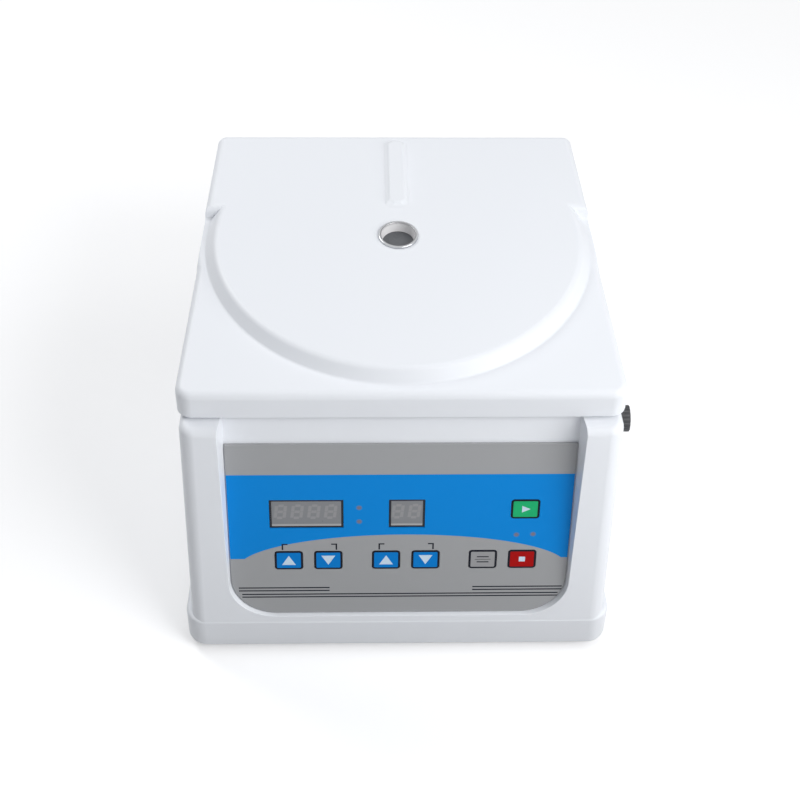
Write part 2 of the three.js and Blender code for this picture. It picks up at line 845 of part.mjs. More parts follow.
function motorShaft() {
  const top = hubTop() + nutHeight - nutCap - seatGap;
  return disc(shaftRadius, motorTop - shaftDepth, top, smallRoundSides);
}

function shaftBoot() {
  const low = motorTop + seatGap;
  const lipLow = bowlFloorZ + seatGap;
  return turned(
    [
      [bootInner, low],
      [bootWaist, low],
      [bootWaist, lipLow],
      [bootLipRadius, lipLow],
      [bootWaist, lipLow + bootLip],
      [bootInner, lipLow + bootLip],
      [bootInner, low],
    ],
    mediumRoundSides,
  );
}

// Rotor

// A place in the plane of the sleeves' mouths, `along` it outwards from a sleeve's axis.
function mouthPlane(along) {
  return [mouthRadius + along * Math.cos(tubeTilt), mouthZ + along * Math.sin(tubeTilt)];
}

// The height of a line that runs down and outwards beside the sleeves, at a radius.
function besideSleeves([r, z], radius) {
  return z - (radius - r) / Math.tan(tubeTilt);
}

function hubTop() {
  return mouthPlane(-boreRadius - rotorWeb)[1] - rotorWeb / 2;
}

function rotorBody() {
  const outer = mouthPlane(boreRadius + rotorWeb);
  const inner = mouthPlane(-boreRadius - rotorWeb);
  const bore = shaftRadius + seatGap;
  const webZ = hubTop() - hubTopThickness;
  const hollowTopR = inner[0] + (besideSleeves(inner, inner[0]) - webZ) * Math.tan(tubeTilt);
  const hollowFootR = inner[0] + (inner[1] - rotorZ) * Math.tan(tubeTilt);
  const slopeFoot = besideSleeves(outer, rotorRadius);
  return turned(
    [
      [bore, hubTop() - hubLength],
      [hubRadius, hubTop() - hubLength],
      [hubRadius, webZ],
      [hollowTopR, webZ],
      [hollowFootR, rotorZ],
      [rotorRadius - rotorChamfer, rotorZ],
      [rotorRadius, rotorZ + rotorChamfer],
      [rotorRadius, slopeFoot],
      outer,
      inner,
      [hubTopRadius, hubTop()],
      [bore, hubTop()],
      [bore, hubTop() - hubLength],
    ],
    largeRoundSides,
  );
}

// Puts a geometry drawn about Z, with a sleeve's mouth at Z = 0, at the numbered sleeve's place.
function atSleeve(geometry, number) {
  const turn = (2 * Math.PI * number) / sleeveCount;
  return geometry
    .rotateY(-tubeTilt)
    .translate(mouthRadius, 0, mouthZ)
    .rotateZ(turn);
}

// The rotor, with a bore for each sleeve and a flat seat for the sleeve's rim round its mouth.
function angleRotor() {
  const seat = sleeveRim + seatGap;
  const bore = [
    [0, -sleeveLength - seatGap],
    [boreRadius, -sleeveLength - seatGap],
    [boreRadius, 0],
    [seat, 0],
    [seat, rotorWeb + overrun],
    [0, rotorWeb + overrun],
  ];
  const bores = Array.from({ length: sleeveCount }, (_, i) =>
    atSleeve(turned(bore, smallRoundSides), i),
  );
  return cut(solid(rotorBody()), ...bores);
}

function tubeSleeve(number) {
  const outer = sleeveBore + sleeveWall;
  const round = outer * sleeveEndShare;
  const profile = [
    [0, -sleeveLength],
    [outer - round, -sleeveLength],
    [outer, round - sleeveLength],
    [outer, seatGap],
    [sleeveRim, seatGap],
    [sleeveRim, seatGap + sleeveRimHeight],
    [sleeveBore, seatGap + sleeveRimHeight],
    [sleeveBore, round - sleeveLength],
    [sleeveBore - round, sleeveWall - sleeveLength],
    [0, sleeveWall - sleeveLength],
  ];
  return atSleeve(turned(profile, smallRoundSides), number);
}

function rotorNut() {
  const low = hubTop() + seatGap;
  const knob = solid(prism(fluted(nutRadius, nutLobes, nutLobeDepth), nutHeight, low));
  const boreTop = hubTop() + nutHeight - nutCap;
  return cut(knob, disc(shaftRadius + seatGap, low - overrun, boreTop, smallRoundSides));
}

// Key panel

function panelOverlay() {
  const corners = [
    { x: -panelHalfWidth, y: -panelLength, r: panelCornerRadius },
    { x: panelHalfWidth, y: -panelLength, r: panelCornerRadius },
    { x: panelHalfWidth, y: 0, r: panelTopRadius },
    { x: -panelHalfWidth, y: 0, r: panelTopRadius },
  ];
  const windows = displays.map(({ x, width }) =>
    rectangle(width, windowHeight, windowCornerRadius, x, -windowTop - windowHeight / 2, 1),
  );
  const keyHoles = keyPlaces.map(({ x, y }) =>
    rectangle(
      keyWidth + 2 * seatGap, keyHeight + 2 * seatGap, keyCornerRadius + seatGap, x, -y,
    ),
  );
  return ontoPanel(prism(filleted(corners), panelThickness, seatGap, [...windows, ...keyHoles]));
}

function key({ x, y }) {
  const low = seatGap + panelThickness + keyStandsProud - keyThickness;
  return ontoPanel(prism(rectangle(keyWidth, keyHeight, keyCornerRadius, x, -y), keyThickness, low));
}

function display({ x, width }) {
  const margin = 2 * seatGap;
  return ontoPanel(
    box(
      width - margin, windowHeight - margin, displayDepth, x, -windowTop - windowHeight / 2,
      displayFloor,
    ),
  );
}

function controlBoard() {
  const length = boardBottom - boardTop;
  return ontoPanel(
    box(
      boardWidth, length, boardThickness, 0, -boardTop - length / 2,
      displayFloor - seatGap - boardThickness,
    ),
  );
}

// Lid

const lidShape = {
  halfFront: lidHalfFront,
  halfRear: lidHalfRear,
  front: lidFront,
  rear: lidRear,
  frontRadius: lidFrontCorner,
  rearRadius: lidRearCorner,
};

// The tray's solid up to a height, with its upper edge rounded, drawn in by an inset.
function lidTray(low, top, inset) {
  const radius = Math.max(lidEdgeRadius - inset, embed);
  const rings = Array.from({ length: edgeSteps + 1 }, (_, i) => {
    const angle = (Math.PI / 2) * (i / edgeSteps);
    return {
      outline: tray(lidShape, inset + radius * (1 - Math.cos(angle))),
      z: top - inset - radius + radius * Math.sin(angle),
    };
  });
  return loft([{ outline: tray(lidShape, inset), z: low }, ...rings]);
}

// The plateau's limits: a bevelled disc, and a slab behind it across the full width.
function plateauLimits(inset) {
  const top = lidTop - inset;
  const foot = lidLowTop - inset;
  const low = lidZ + linerRise;
  const upper = plateauRadius - inset;
  const lower = plateauRadius + plateauBevel - inset;
  const profile = [
    [0, low],
    [lower, low],
    [lower, foot],
    [upper, top],
    [upper, top + overrun],
    [0, top + overrun],
  ];
  const dome = turned(profile, largeRoundSides);
  const slabAt = (y, z) => ({
    outline: [
      new THREE.Vector2(-lidHalfFront, y),
      new THREE.Vector2(lidHalfFront, y),
      new THREE.Vector2(lidHalfFront, lidRear + overrun),
      new THREE.Vector2(-lidHalfFront, lidRear + overrun),
    ],
    z,
  });
  const front = plateauBack + inset;
  const slab = loft([
    slabAt(front - plateauBackBevel, low),
    slabAt(front - plateauBackBevel, foot),
    slabAt(front, top),
    slabAt(front, top + overrun),
  ]);
  return join(dome, slab);
}

function lidSolid(low, inset) {
  const plateau = solid(lidTray(low, lidTop, inset)).intersect(plateauLimits(inset));
  return solid(lidTray(low, lidLowTop, inset)).add(plateau);
}

// The raised rib behind the sight glass, bevelled all round.
function lidRib() {
  const outline = (inset) => {
    const half = ribHalfWidth - inset;
    const chamfer = ribCorner;
    const [front, rear] = [ribFront + inset, ribRear - inset];
    return [
      [-half + chamfer, front],
      [half - chamfer, front],
      [half, front + chamfer],
      [half, rear - chamfer],
      [half - chamfer, rear],
      [-half + chamfer, rear],
      [-half, rear - chamfer],
      [-half, front + chamfer],
    ].map(([x, y]) => new THREE.Vector2(x, y));
  };
  return loft([
    { outline: outline(0), z: lidTop - embed },
    { outline: outline(0), z: lidTop },
    { outline: outline(ribBevel), z: lidTop + ribHeight },
  ]);
}

function lidCover() {
  const shell = lidSolid(lidZ, 0).subtract(lidSolid(lidZ - overrun, lidWall));
  const hole = disc(
    sightTubeRadius + seatGap, lidLowTop, lidTop + overrun, mediumRoundSides,
  );
  return cut(shell.add(solid(lidRib())), hole);
}

function lidLiner() {
  const sheet = prism(tray(lidShape, lidWall + linerMargin), linerThickness, linerZ);
  const low = linerZ;
  const high = dishZ;
  const hole = sightThroatRadius;
  const outside = dishRadius + linerThickness;
  const opening = disc(outside + embed / 2, low - overrun, high, largeRoundSides);
  const dish = turned(
    [
      [outside + embed, low],
      [outside + embed, low + linerThickness],
      [outside, low + linerThickness],
      [outside - dishSlope, high + linerThickness],
      [hole, high + linerThickness],
      [hole, high],
      [dishRadius - dishSlope, high],
      [dishRadius, low],
      [outside + embed, low],
    ],
    largeRoundSides,
  );
  return cut(solid(sheet), opening).add(solid(dish));
}

const lidSeal = () =>
  ring(sealInner, sealOuter, bowlRimTop + seatGap, linerZ - seatGap, largeRoundSides);

const glassTop = lidTop - sightDepth;

function sightRing() {
  const top = lidTop + seatGap + sightFlange;
  const low = dishZ + linerThickness + seatGap;
  const seat = glassRadius + seatGap;
  return turned(
    [
      [seat, low],
      [sightTubeRadius, low],
      [sightTubeRadius, lidTop + seatGap],
      [sightFlangeRadius, lidTop + seatGap],
      [sightFlangeRadius, top - sightFlange / 2],
      [sightFlangeRadius - sightFlange / 2, top],
      [sightMouthRadius, top],
      [sightThroatRadius, glassTop + seatGap],
      [seat, glassTop + seatGap],
      [seat, low],
    ],
    mediumRoundSides,
  );
}

const sightGlass = () => disc(glassRadius, glassTop - glassThickness, glassTop, mediumRoundSides);

function bumper() {
  return disc(bumperRadius, deckZ + seatGap, lidZ - seatGap, smallRoundSides);
}

// Hinges

// A round bar on the hinges' axis.
function hingeRod(radius, from, to) {
  return rodAlongX(radius, from, to, hingeAxisY, hingeAxisZ, smallRoundSides);
}

// A leaf's sheet against the body's rear wall, with a knuckle at each end of the barrel.
function bodyLeaf() {
  const knuckle = (hingeWidth - hingeMiddle) / 2 - seatGap / 2;
  const bore = hingePinRadius + seatGap / 2;
  const parts = [-1, 1].map((side) => {
    const from = side < 0 ? -hingeWidth / 2 : hingeWidth / 2 - knuckle;
    const web = hingeAxisY - bodyRear - seatGap;
    const tab = box(
      knuckle, web, hingeSheet, from + knuckle / 2, bodyRear + seatGap + web / 2,
      hingeAxisZ - hingeBarrelRadius,
    );
    return join(hingeRod(hingeBarrelRadius, from, from + knuckle), tab);
  });
  const sheet = box(
    hingeWidth, hingeSheet, hingeBodyLeaf, 0, bodyRear + seatGap + hingeSheet / 2,
    hingeAxisZ - hingeBarrelRadius - hingeBodyLeaf + hingeSheet,
  );
  const leaf = parts[0].add(parts[1]).add(solid(sheet));
  return cut(leaf, hingeRod(bore, -hingeWidth / 2 - overrun, hingeWidth / 2 + overrun));
}

// The lid's leaf stands against the lid's rear wall and carries the middle knuckle.
function lidLeaf() {
  const half = hingeMiddle / 2 - seatGap / 2;
  const bore = hingePinRadius + seatGap / 2;
  const low = hingeAxisZ + hingeBarrelRadius - hingeSheet;
  const reach = hingeAxisY - lidRear - seatGap;
  const tab = box(2 * half, reach, hingeSheet, 0, lidRear + seatGap + reach / 2, low);
  const sheet = box(
    hingeWidth, hingeSheet, hingeLidLeaf, 0, lidRear + seatGap + hingeSheet / 2, low,
  );
  const leaf = join(hingeRod(hingeBarrelRadius, -half, half), tab, sheet);
  return cut(leaf, hingeRod(bore, -half - overrun, half + overrun));
}

const hingePin = () => hingeRod(hingePinRadius, -hingeWidth / 2, hingeWidth / 2);

// Latch

// A round bar on the latch's axis.
function latchRod(radius, from, to) {
  return rodAlongX(radius, from, to, latchY, latchZ, smallRoundSides);
}

function latchKnob() {
  const knob = solid(prism(fluted(knobRadius, knobFlutes, knobFluteDepth), knobDepth));
  const pointer = box(
    knobSlot, knobRadius, overrun + knobSlotDepth, 0, knobRadius / 2, knobDepth - knobSlotDepth,
  );
  const shaftHole = disc(latchShaftRadius + seatGap, -overrun, knobDepth / 2, smallRoundSides);
  return geometryOf(cut(knob, pointer, shaftHole))
    .rotateY(Math.PI / 2)
    .rotateX(-Math.PI / 2)
    .translate(knobX, latchY, latchZ);
}

function latchBush() {
  const bore = latchShaftRadius + seatGap;
  const inside = latchSeatX - wall - bushFlangeThickness;
  const outside = knobX - seatGap;
  const barrel = latchRod(bushRadius, inside, outside);
  const flange = latchRod(bushFlange, latchSeatX + seatGap, outside);
  return cut(join(barrel, flange), latchRod(bore, inside - overrun, outside + overrun));
}

function latchShaft() {
  const end = knobX + knobDepth / 2 - seatGap;
  const start = bracketX - latchShaftTail;
  return latchRod(latchShaftRadius, start, end);
}

// The hook, drawn closed in Y and Z about the shaft and then turned back to its free place.
function latchHook() {
  const tipOutside = hookTipInside + hookTipThickness;
  const outline = [
    [hookInside, 0],
    [hookInside + hookArm, 0],
    [hookInside + hookArm, tipOutside],
    [-hookTipReach, tipOutside],
    [-hookTipReach, hookTipInside],
    [hookInside, hookTipInside],
  ].map(([y, z]) => new THREE.Vector2(y, z));
  const hub = circlePoints(hookHub, smallRoundSides);
  const web = [
    new THREE.Vector2(0, -hookHub),
    new THREE.Vector2(hookInside + hookArm, 0),
    new THREE.Vector2(hookInside, hookInside),
    new THREE.Vector2(0, hookHub),
  ];
  const plate = join(
    prism(outline, hookThickness), prism(hub, hookThickness), prism(web, hookThickness),
  );
  const bored = cut(
    plate,
    disc(latchShaftRadius + seatGap / 2, -overrun, hookThickness + overrun, smallRoundSides),
  );
  return facingX(geometryOf(bored))
    .translate(-hookThickness / 2, 0, 0)
    .rotateX(-latchTurn)
    .translate(hookX, latchY, latchZ);
}

function latchBracket() {
  const top = deckUnderside - seatGap;
  const low = latchZ - bracketDrop;
  const ear = box(bracketSheet, bracketWidth, top - low, bracketX, latchY, low);
  const tab = box(
    bracketFoot, bracketWidth, bracketSheet, bracketX - bracketFoot / 2 + bracketSheet / 2, latchY,
    top - bracketSheet,
  );
  const hole = latchRod(
    latchShaftRadius + seatGap, bracketX - bracketSheet - overrun, bracketX + bracketSheet + overrun,
  );
  return cut(join(ear, tab), hole);
}

// A wire loop under the lid whose lower bar the hook holds.
function lidStriker() {
  const barZ = latchZ + strikerBarRise;
  const plateZ = linerZ - seatGap - strikerPlate;
  const plate = box(
    strikerPlateLength, strikerPlateWidth, strikerPlate, hookX, latchY, plateZ,
  );
  const legs = [-strikerHalfWidth, strikerHalfWidth].map((x) =>
    disc(strikerWire, barZ - strikerWire, plateZ + embed, tinyRoundSides)
      .translate(hookX + x, latchY, 0),
  );
  const bar = rodAlongX(
    strikerWire, hookX - strikerHalfWidth, hookX + strikerHalfWidth, latchY, barZ, tinyRoundSides,
  );
  return join(plate, bar, ...legs);
}

// Rear fittings

function powerInlet() {
  const face = bodyRear + seatGap;
  const outerFace = face + inletFlange;
  const flange = box(
    inletFlangeWidth, inletFlange, inletFlangeHeight, inletX, face + inletFlange / 2,
    rearZ - inletFlangeHeight / 2,
  );
  const depth = inletDepth + inletFlange;
  const shell = box(
    inletWidth, depth, inletHeight, inletX, outerFace - depth / 2, rearZ - inletHeight / 2,
  );
  const socket = box(
    inletSocketWidth, inletSocketDepth + overrun, inletSocketHeight, inletX,
    outerFace + overrun - (inletSocketDepth + overrun) / 2, rearZ - inletSocketHeight / 2,
  );
  const socketFloor = outerFace - inletSocketDepth;
  const pins = [-1, 0, 1].map((place) =>
    solid(
      box(
        inletPinWidth, inletPinLength + embed, inletPinHeight, inletX + place * inletPinSpacing,
        socketFloor - embed + (inletPinLength + embed) / 2,
        rearZ - inletPinHeight / 2 + (place === 0 ? inletPinOffset : -inletPinOffset),
      ),
    ),
  );
  return pins.reduce((all, pin) => all.add(pin), cut(join(flange, shell), socket));
}

function switchBezel() {
  const face = bodyRear + seatGap;
  const outerFace = face + switchFlange;
  const flange = box(
    switchWidth, switchFlange, switchHeight, switchX, face + switchFlange / 2,
    rearZ - switchHeight / 2,
  );
  const depth = switchDepth + switchFlange;
  const innerWidth = switchWidth - 2 * switchRim;
  const innerHeight = switchHeight - 2 * switchRim;
  const shell = box(
    innerWidth, depth, innerHeight, switchX, outerFace - depth / 2, rearZ - innerHeight / 2,
  );
  const pocketDepth = switchPocketDepth + overrun;
  const pocket = box(
    innerWidth - 2 * switchPocketWall, pocketDepth, innerHeight - 2 * switchPocketWall, switchX,
    outerFace + overrun - pocketDepth / 2, rearZ - innerHeight / 2 + switchPocketWall,
  );
  return cut(join(flange, shell), pocket);
}

const rockerPivotY = bodyRear + seatGap + switchFlange - rockerPivotDepth;

// The rocker, tilted to its off side: two faces that meet in a shallow valley.
function powerRocker() {
  const half = switchWidth / 2 - switchRim - switchPocketWall - rockerGap;
  const height = switchHeight - 2 * (switchRim + switchPocketWall + rockerGap);
  const outline = [
    [-half, 0],
    [0, -rockerPivotDepth / 2],
    [half, 0],
    [half, rockerThickness - rockerPivotDepth / 2],
    [0, rockerPivotDepth],
    [-half, rockerThickness - rockerPivotDepth / 2],
  ].map(([x, y]) => new THREE.Vector2(x, y));
  return prism(outline, height, -height / 2)
    .rotateZ(rockerTilt)
    .translate(switchX, rockerPivotY, rearZ);
}

function fuseHolder() {
  const face = bodyRear + seatGap;
  const profile = [
    [0, -fuseDepth],
    [fuseThread, -fuseDepth],
    [fuseThread, 0],
    [fuseRadius, 0],
    [fuseRadius, fuseCap - fuseCapEdge],
    [fuseRadius - fuseCapEdge, fuseCap],
    [0, fuseCap],
  ];
  return turned(profile, smallRoundSides).rotateX(-Math.PI / 2).translate(fuseX, face, rearZ);
}

// Electronics

function driveBoard() {
  const foot = baseTop + seatGap;
  const boardZ = foot + driveBoardZ;
  const top = boardZ + boardThickness - embed / 2;
  const board = box(driveBoardWidth, driveBoardLength, boardThickness, 0, 0, boardZ);
  const x = driveBoardWidth / 2 - spacerInset;
  const y = driveBoardLength / 2 - spacerInset;
  const spacers = [[-x, -y], [x, -y], [x, y], [-x, y]].map(([px, py]) =>
    disc(spacerRadius, foot, boardZ + embed, tinyRoundSides).translate(px, py, 0),
  );
  const capacitors = [-1, 1].map((side) =>
    disc(capacitorRadius, top, top + capacitorHeight, smallRoundSides).translate(
      -capacitorX, side * (capacitorRadius + spacerInset) - capacitorsY, 0,
    ),
  );
  const pitch = (heatSinkLength - heatSinkFin) / (heatSinkFins - 1);
  const fins = Array.from({ length: heatSinkFins }, (_, i) => {
    const finY = heatSinkY + (i - (heatSinkFins - 1) / 2) * pitch;
    return box(heatSinkWidth, heatSinkFin, heatSinkHeight, 0, finY, top);
  });
  const spine = box(
    heatSinkFin, heatSinkLength - heatSinkFin, heatSinkHeight, 0, heatSinkY, top,
  );
  return join(board, ...spacers, ...capacitors, ...fins, spine);
}

function transformer() {
  const z = baseTop + seatGap;
  const core = box(transformerWidth, transformerLength, transformerHeight - coilMargin, 0, 0, z);
  const coil = box(
    transformerWidth + 2 * coilReach, transformerLength - 2 * coilMargin,
    transformerHeight - 2 * coilMargin, 0, 0, z + coilMargin / 2,
  );
  const limb = box(
    transformerWidth - 2 * coilMargin, transformerLength - coilMargin, transformerHeight, 0, 0, z,
  );
  return join(core, coil, limb);
}

// Assembly

const finish = (color, roughness, metalness = 0) =>
  new THREE.MeshStandardMaterial({ color, roughness, metalness });

const whitePlastic = finish(0xeef0f4, 0.25);
const rubber = finish(0x1c1c1e, 0.8);
const steel = finish(0xb9bcc0, 0.3, 0.9);
const aluminium = finish(0xc7c9cc, 0.4, 0.8);
const darkPlastic = finish(0x2a2b2e, 0.45);
const board = finish(0x1f5a38, 0.6);

const machine = new THREE.Group();

function piece(name, shape, material, parent = machine) {
  const mesh = new THREE.Mesh(shape.isBufferGeometry ? shape : geometryOf(shape), material);
  mesh.name = name;
  parent.add(mesh);
  return mesh;
}

function addBody() {
  piece("housing", housing(), whitePlastic);
  piece("base_plate", basePlate(), steel);
  for (const [end, y] of [["front", footInset - plinthFront], ["rear", plinthRear - footInset]]) {
    const x = sideOf(plinthShape, y) - footInset;
    piece(`foot_${end}_left`, foot(), rubber).position.set(-x, y, 0);
    piece(`foot_${end}_right`, foot(), rubber).position.set(x, y, 0);
  }
  piece("lid_bumper_left", bumper(), rubber).position.set(-bumperX, bumperY, 0);
  piece("lid_bumper_right", bumper(), rubber).position.set(bumperX, bumperY, 0);
}

function addDrive() {
  piece("chamber_bowl", chamberBowl(), steel);
  piece("motor_mount_plate", motorPlate(), steel);
  for (let i = 0; i < damperCount; i++) {
    const angle = Math.PI / 2 + (2 * Math.PI * i) / damperCount;
    piece(`motor_damper_${i + 1}`, damper(), rubber).position.set(
      damperCircle * Math.cos(angle), damperCircle * Math.sin(angle), 0,
    );
  }
  piece("motor", motor(), darkPlastic);
  piece("motor_shaft", motorShaft(), steel);
  piece("shaft_boot", shaftBoot(), rubber);
}

function addRotor() {
  piece("angle_rotor", angleRotor(), aluminium);
  piece("rotor_nut", rotorNut(), steel);
  for (let i = 0; i < sleeveCount; i++) {
    piece(`tube_sleeve_${i + 1}`, tubeSleeve(i), steel);
  }
}

function addPanel() {
  piece("panel_overlay", panelOverlay(), finish(0x9fa1a4, 0.5));
  for (const place of keyPlaces) piece(place.name, key(place), finish(place.color, 0.5));
  for (const place of displays) piece(place.name, display(place), finish(0x8a8b8e, 0.3));
  piece("control_board", controlBoard(), board);
}

function addLid() {
  piece("lid_cover", lidCover(), whitePlastic);
  piece("lid_liner", lidLiner(), aluminium);
  piece("lid_seal", lidSeal(), rubber);
  piece("sight_ring", sightRing(), steel);
  piece("sight_glass", sightGlass(), finish(0x66686c, 0.1));
  piece("lid_striker", lidStriker(), steel);
}

function addHinges() {
  for (const [side, x] of [["left", -hingeX], ["right", hingeX]]) {
    piece(`hinge_body_leaf_${side}`, bodyLeaf(), steel).position.x = x;
    piece(`hinge_lid_leaf_${side}`, lidLeaf(), steel).position.x = x;
    piece(`hinge_pin_${side}`, hingePin(), steel).position.x = x;
  }
}

function addLatch() {
  piece("latch_knob", latchKnob(), darkPlastic);
  piece("latch_bush", latchBush(), darkPlastic);
  piece("latch_shaft", latchShaft(), steel);
  piece("latch_hook", latchHook(), steel);
  piece("latch_bracket", latchBracket(), steel);
}

function addRearFittings() {
  piece("power_inlet", powerInlet(), darkPlastic);
  piece("switch_bezel", switchBezel(), darkPlastic);
  piece("power_rocker", powerRocker(), darkPlastic);
  piece("fuse_holder", fuseHolder(), darkPlastic);
}

function addElectronics() {
  const aroundThem = bodyShape(baseTop + transformerHeight);
  const inside = (halfLength) => sideOf(aroundThem, halfLength) - wall - boardMargin;
  piece("drive_board", driveBoard(), board).position.x =
    driveBoardWidth / 2 - inside(driveBoardLength / 2);
  piece("transformer", transformer(), darkPlastic).position.x =
    inside(transformerLength / 2) - transformerWidth / 2 - coilReach;
}

addBody();
addDrive();
addRotor();
addPanel();
addLid();
addHinges();
addLatch();
addRearFittings();
addElectronics();
machine.position.y = -middleY;

export default machine;
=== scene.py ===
"""Looks of a benchtop centrifuge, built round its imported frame.

Metres, Z up, +X to the user's right and +Y to the back, as in the frame.
"""

import json
import math
from collections import namedtuple

import bmesh
import bpy
from bpy.props import FloatProperty, FloatVectorProperty, PointerProperty
from mathutils import Matrix, Vector

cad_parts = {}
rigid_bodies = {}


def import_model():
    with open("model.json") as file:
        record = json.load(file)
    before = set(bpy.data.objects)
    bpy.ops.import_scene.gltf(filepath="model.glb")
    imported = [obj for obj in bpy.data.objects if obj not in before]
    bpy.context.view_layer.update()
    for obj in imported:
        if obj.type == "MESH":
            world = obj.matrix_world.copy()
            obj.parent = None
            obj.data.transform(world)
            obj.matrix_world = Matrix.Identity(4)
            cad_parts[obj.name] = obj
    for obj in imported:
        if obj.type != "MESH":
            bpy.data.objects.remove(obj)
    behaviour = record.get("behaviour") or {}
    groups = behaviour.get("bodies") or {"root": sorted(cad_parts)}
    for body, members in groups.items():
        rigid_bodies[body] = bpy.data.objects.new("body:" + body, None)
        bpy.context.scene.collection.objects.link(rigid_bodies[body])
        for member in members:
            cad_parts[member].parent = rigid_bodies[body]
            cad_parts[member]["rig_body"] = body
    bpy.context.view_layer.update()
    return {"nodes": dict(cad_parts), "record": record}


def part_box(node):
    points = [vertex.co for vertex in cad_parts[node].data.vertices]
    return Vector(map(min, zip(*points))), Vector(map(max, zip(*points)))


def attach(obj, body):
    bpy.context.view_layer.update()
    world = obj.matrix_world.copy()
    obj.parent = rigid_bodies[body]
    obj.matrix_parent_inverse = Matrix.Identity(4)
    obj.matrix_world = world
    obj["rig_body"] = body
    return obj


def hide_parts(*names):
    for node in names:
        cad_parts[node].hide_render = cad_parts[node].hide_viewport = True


bl_info = {
    "name": "Benchtop Centrifuge",
    "version": (1, 0, 0),
    "blender": (4, 5, 0),
    "location": "View3D > Sidebar > Centrifuge",
    "description": "Dresses the packed frame of a benchtop centrifuge",
    "category": "Object",
}

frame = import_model()
MM = 0.001

# Smoothness and tolerances
MERGE = 0.005 * MM
FLAT = 0.05 * MM
OVERRUN = 2 * MM  # how far a cut runs past what it cuts
SEAT_GAP = 0.3 * MM
CORNER_STEPS = 16
EDGE_STEPS = 6
ROUND_STEPS = 128
SMALL_STEPS = 48
SHARP = math.radians(38)

# Places that the frame gives
HOUSING_LOW, HOUSING_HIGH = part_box("housing")
LID_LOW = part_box("lid_cover")[0]
BOWL_LOW, BOWL_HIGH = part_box("chamber_bowl")
ROTOR_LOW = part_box("angle_rotor")[0]
RING_LOW, RING_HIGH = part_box("sight_ring")
AXIS_Y = (BOWL_LOW.y + BOWL_HIGH.y) / 2
DECK_Z = HOUSING_HIGH.z

# Housing
WALL = 4 * MM
REAR_DRAW_IN = 19.8 * MM  # body, plinth and lid are narrower at the rear, by this on each side
PLINTH_TOP = HOUSING_LOW.z + 33 * MM
PLINTH_HALF = 170.1 * MM
PLINTH_CORNER = 17 * MM
PLINTH_EDGE = 3 * MM
PLINTH_REAR = HOUSING_HIGH.y
BODY_HALF_FOOT = 165 * MM
BODY_HALF_TOP = 163.2 * MM
BODY_FRONT_FOOT = AXIS_Y - 199 * MM
BODY_FRONT_TOP = AXIS_Y - 172 * MM
BODY_REAR = AXIS_Y + 129 * MM
BOWL_OPENING = (BOWL_HIGH.x - BOWL_LOW.x) / 2 - 7.7 * MM
BOWL_SHEET = 2 * MM

# Key panel: places on it run right from its middle and down from its upper edge
RAKE = math.radians(12)
PANEL_HALF = 131 * MM
PANEL_LENGTH = 166.44 * MM
PANEL_CORNER = 35 * MM
PANEL_THICKNESS = 1.6 * MM
PANEL_ORIGIN = Vector((0, AXIS_Y - 158.6 * MM, 209 * MM))
RECESS_MARGIN = 0.6 * MM
RECESS_REACH = 70 * MM
RECESS_DRAFT = math.radians(10)
WINDOW_TOP = 52.5 * MM
WINDOW_HEIGHT = 27.5 * MM
SPEED_WINDOW = (-71.4 * MM, 56.5 * MM, 4)  # middle, width and count of digits
TIME_WINDOW = (5.2 * MM, 27.6 * MM, 2)
KEY_SIZE = (21.6 * MM, 18.2 * MM)
KEY_CORNER = 2.5 * MM

# Lid
LID_CORNER_FRONT = 13 * MM
LID_CORNER_REAR = 7 * MM
LID_EDGE = 6 * MM
LID_LOW_TOP = LID_LOW.z + 23.5 * MM
LID_TOP = LID_LOW_TOP + 10 * MM
LID_HALF_FRONT = 165 * MM
LID_HALF_REAR = LID_HALF_FRONT - REAR_DRAW_IN
LID_FRONT = AXIS_Y - 160 * MM
LID_REAR = AXIS_Y + 125 * MM
LID_WALL = 3.5 * MM
PLATEAU_RADIUS = 142 * MM
PLATEAU_RUN = 8 * MM
PLATEAU_BACK = 34 * MM
PLATEAU_BACK_RUN = 3 * MM
SIGHT_MOUTH = 13.4 * MM
SIGHT_HOLE = 15.2 * MM
LINER_GAP = 0.4 * MM

# Fittings in the housing's walls: half the width and height of what passes through
INLET_SHELL = (14 * MM, 10.25 * MM)
SWITCH_SHELL = (11.5 * MM, 8 * MM)
FITTING_BORE = 6.3 * MM
FITTING_MARGIN = 0.4 * MM
BUSH_FLANGE = 8 * MM
BUSH_FLANGE_THICK = 1.5 * MM

# A level outline: half its width in front and behind, where it starts and ends, and its height
Plan = namedtuple("Plan", "half_front half_rear front rear z")


def slot_class(name):
    """The slot of the frame's record that a node takes its finish from."""
    for entry in frame["record"]["subparts"]:
        if entry["node"] == name:
            return entry["material_slot"]
    raise RuntimeError("the record has no sub-part named " + name)


def ends(node):
    """A node's low corner, its high corner and its middle."""
    low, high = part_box(node)
    return low, high, (low + high) / 2


# Mesh tools


def circle_arc(centre, radius, start, end, steps):
    """Points of an arc in a profile, from one angle in degrees to another."""
    angles = [math.radians(start + (end - start) * i / steps) for i in range(steps + 1)]
    return [(centre[0] + radius * math.cos(a), centre[1] + radius * math.sin(a)) for a in angles]


def spun(profile, steps=ROUND_STEPS):
    """A profile of (radius, height) pairs turned about Z."""
    bm = bmesh.new()
    verts = [bm.verts.new((radius, 0, height)) for radius, height in profile]
    edges = [bm.edges.new(pair) for pair in zip(verts, verts[1:])]
    bmesh.ops.spin(
        bm, geom=verts + edges, cent=(0, 0, 0), axis=(0, 0, 1), angle=2 * math.pi,
        steps=steps, use_merge=True,
    )
    return closed(bm)


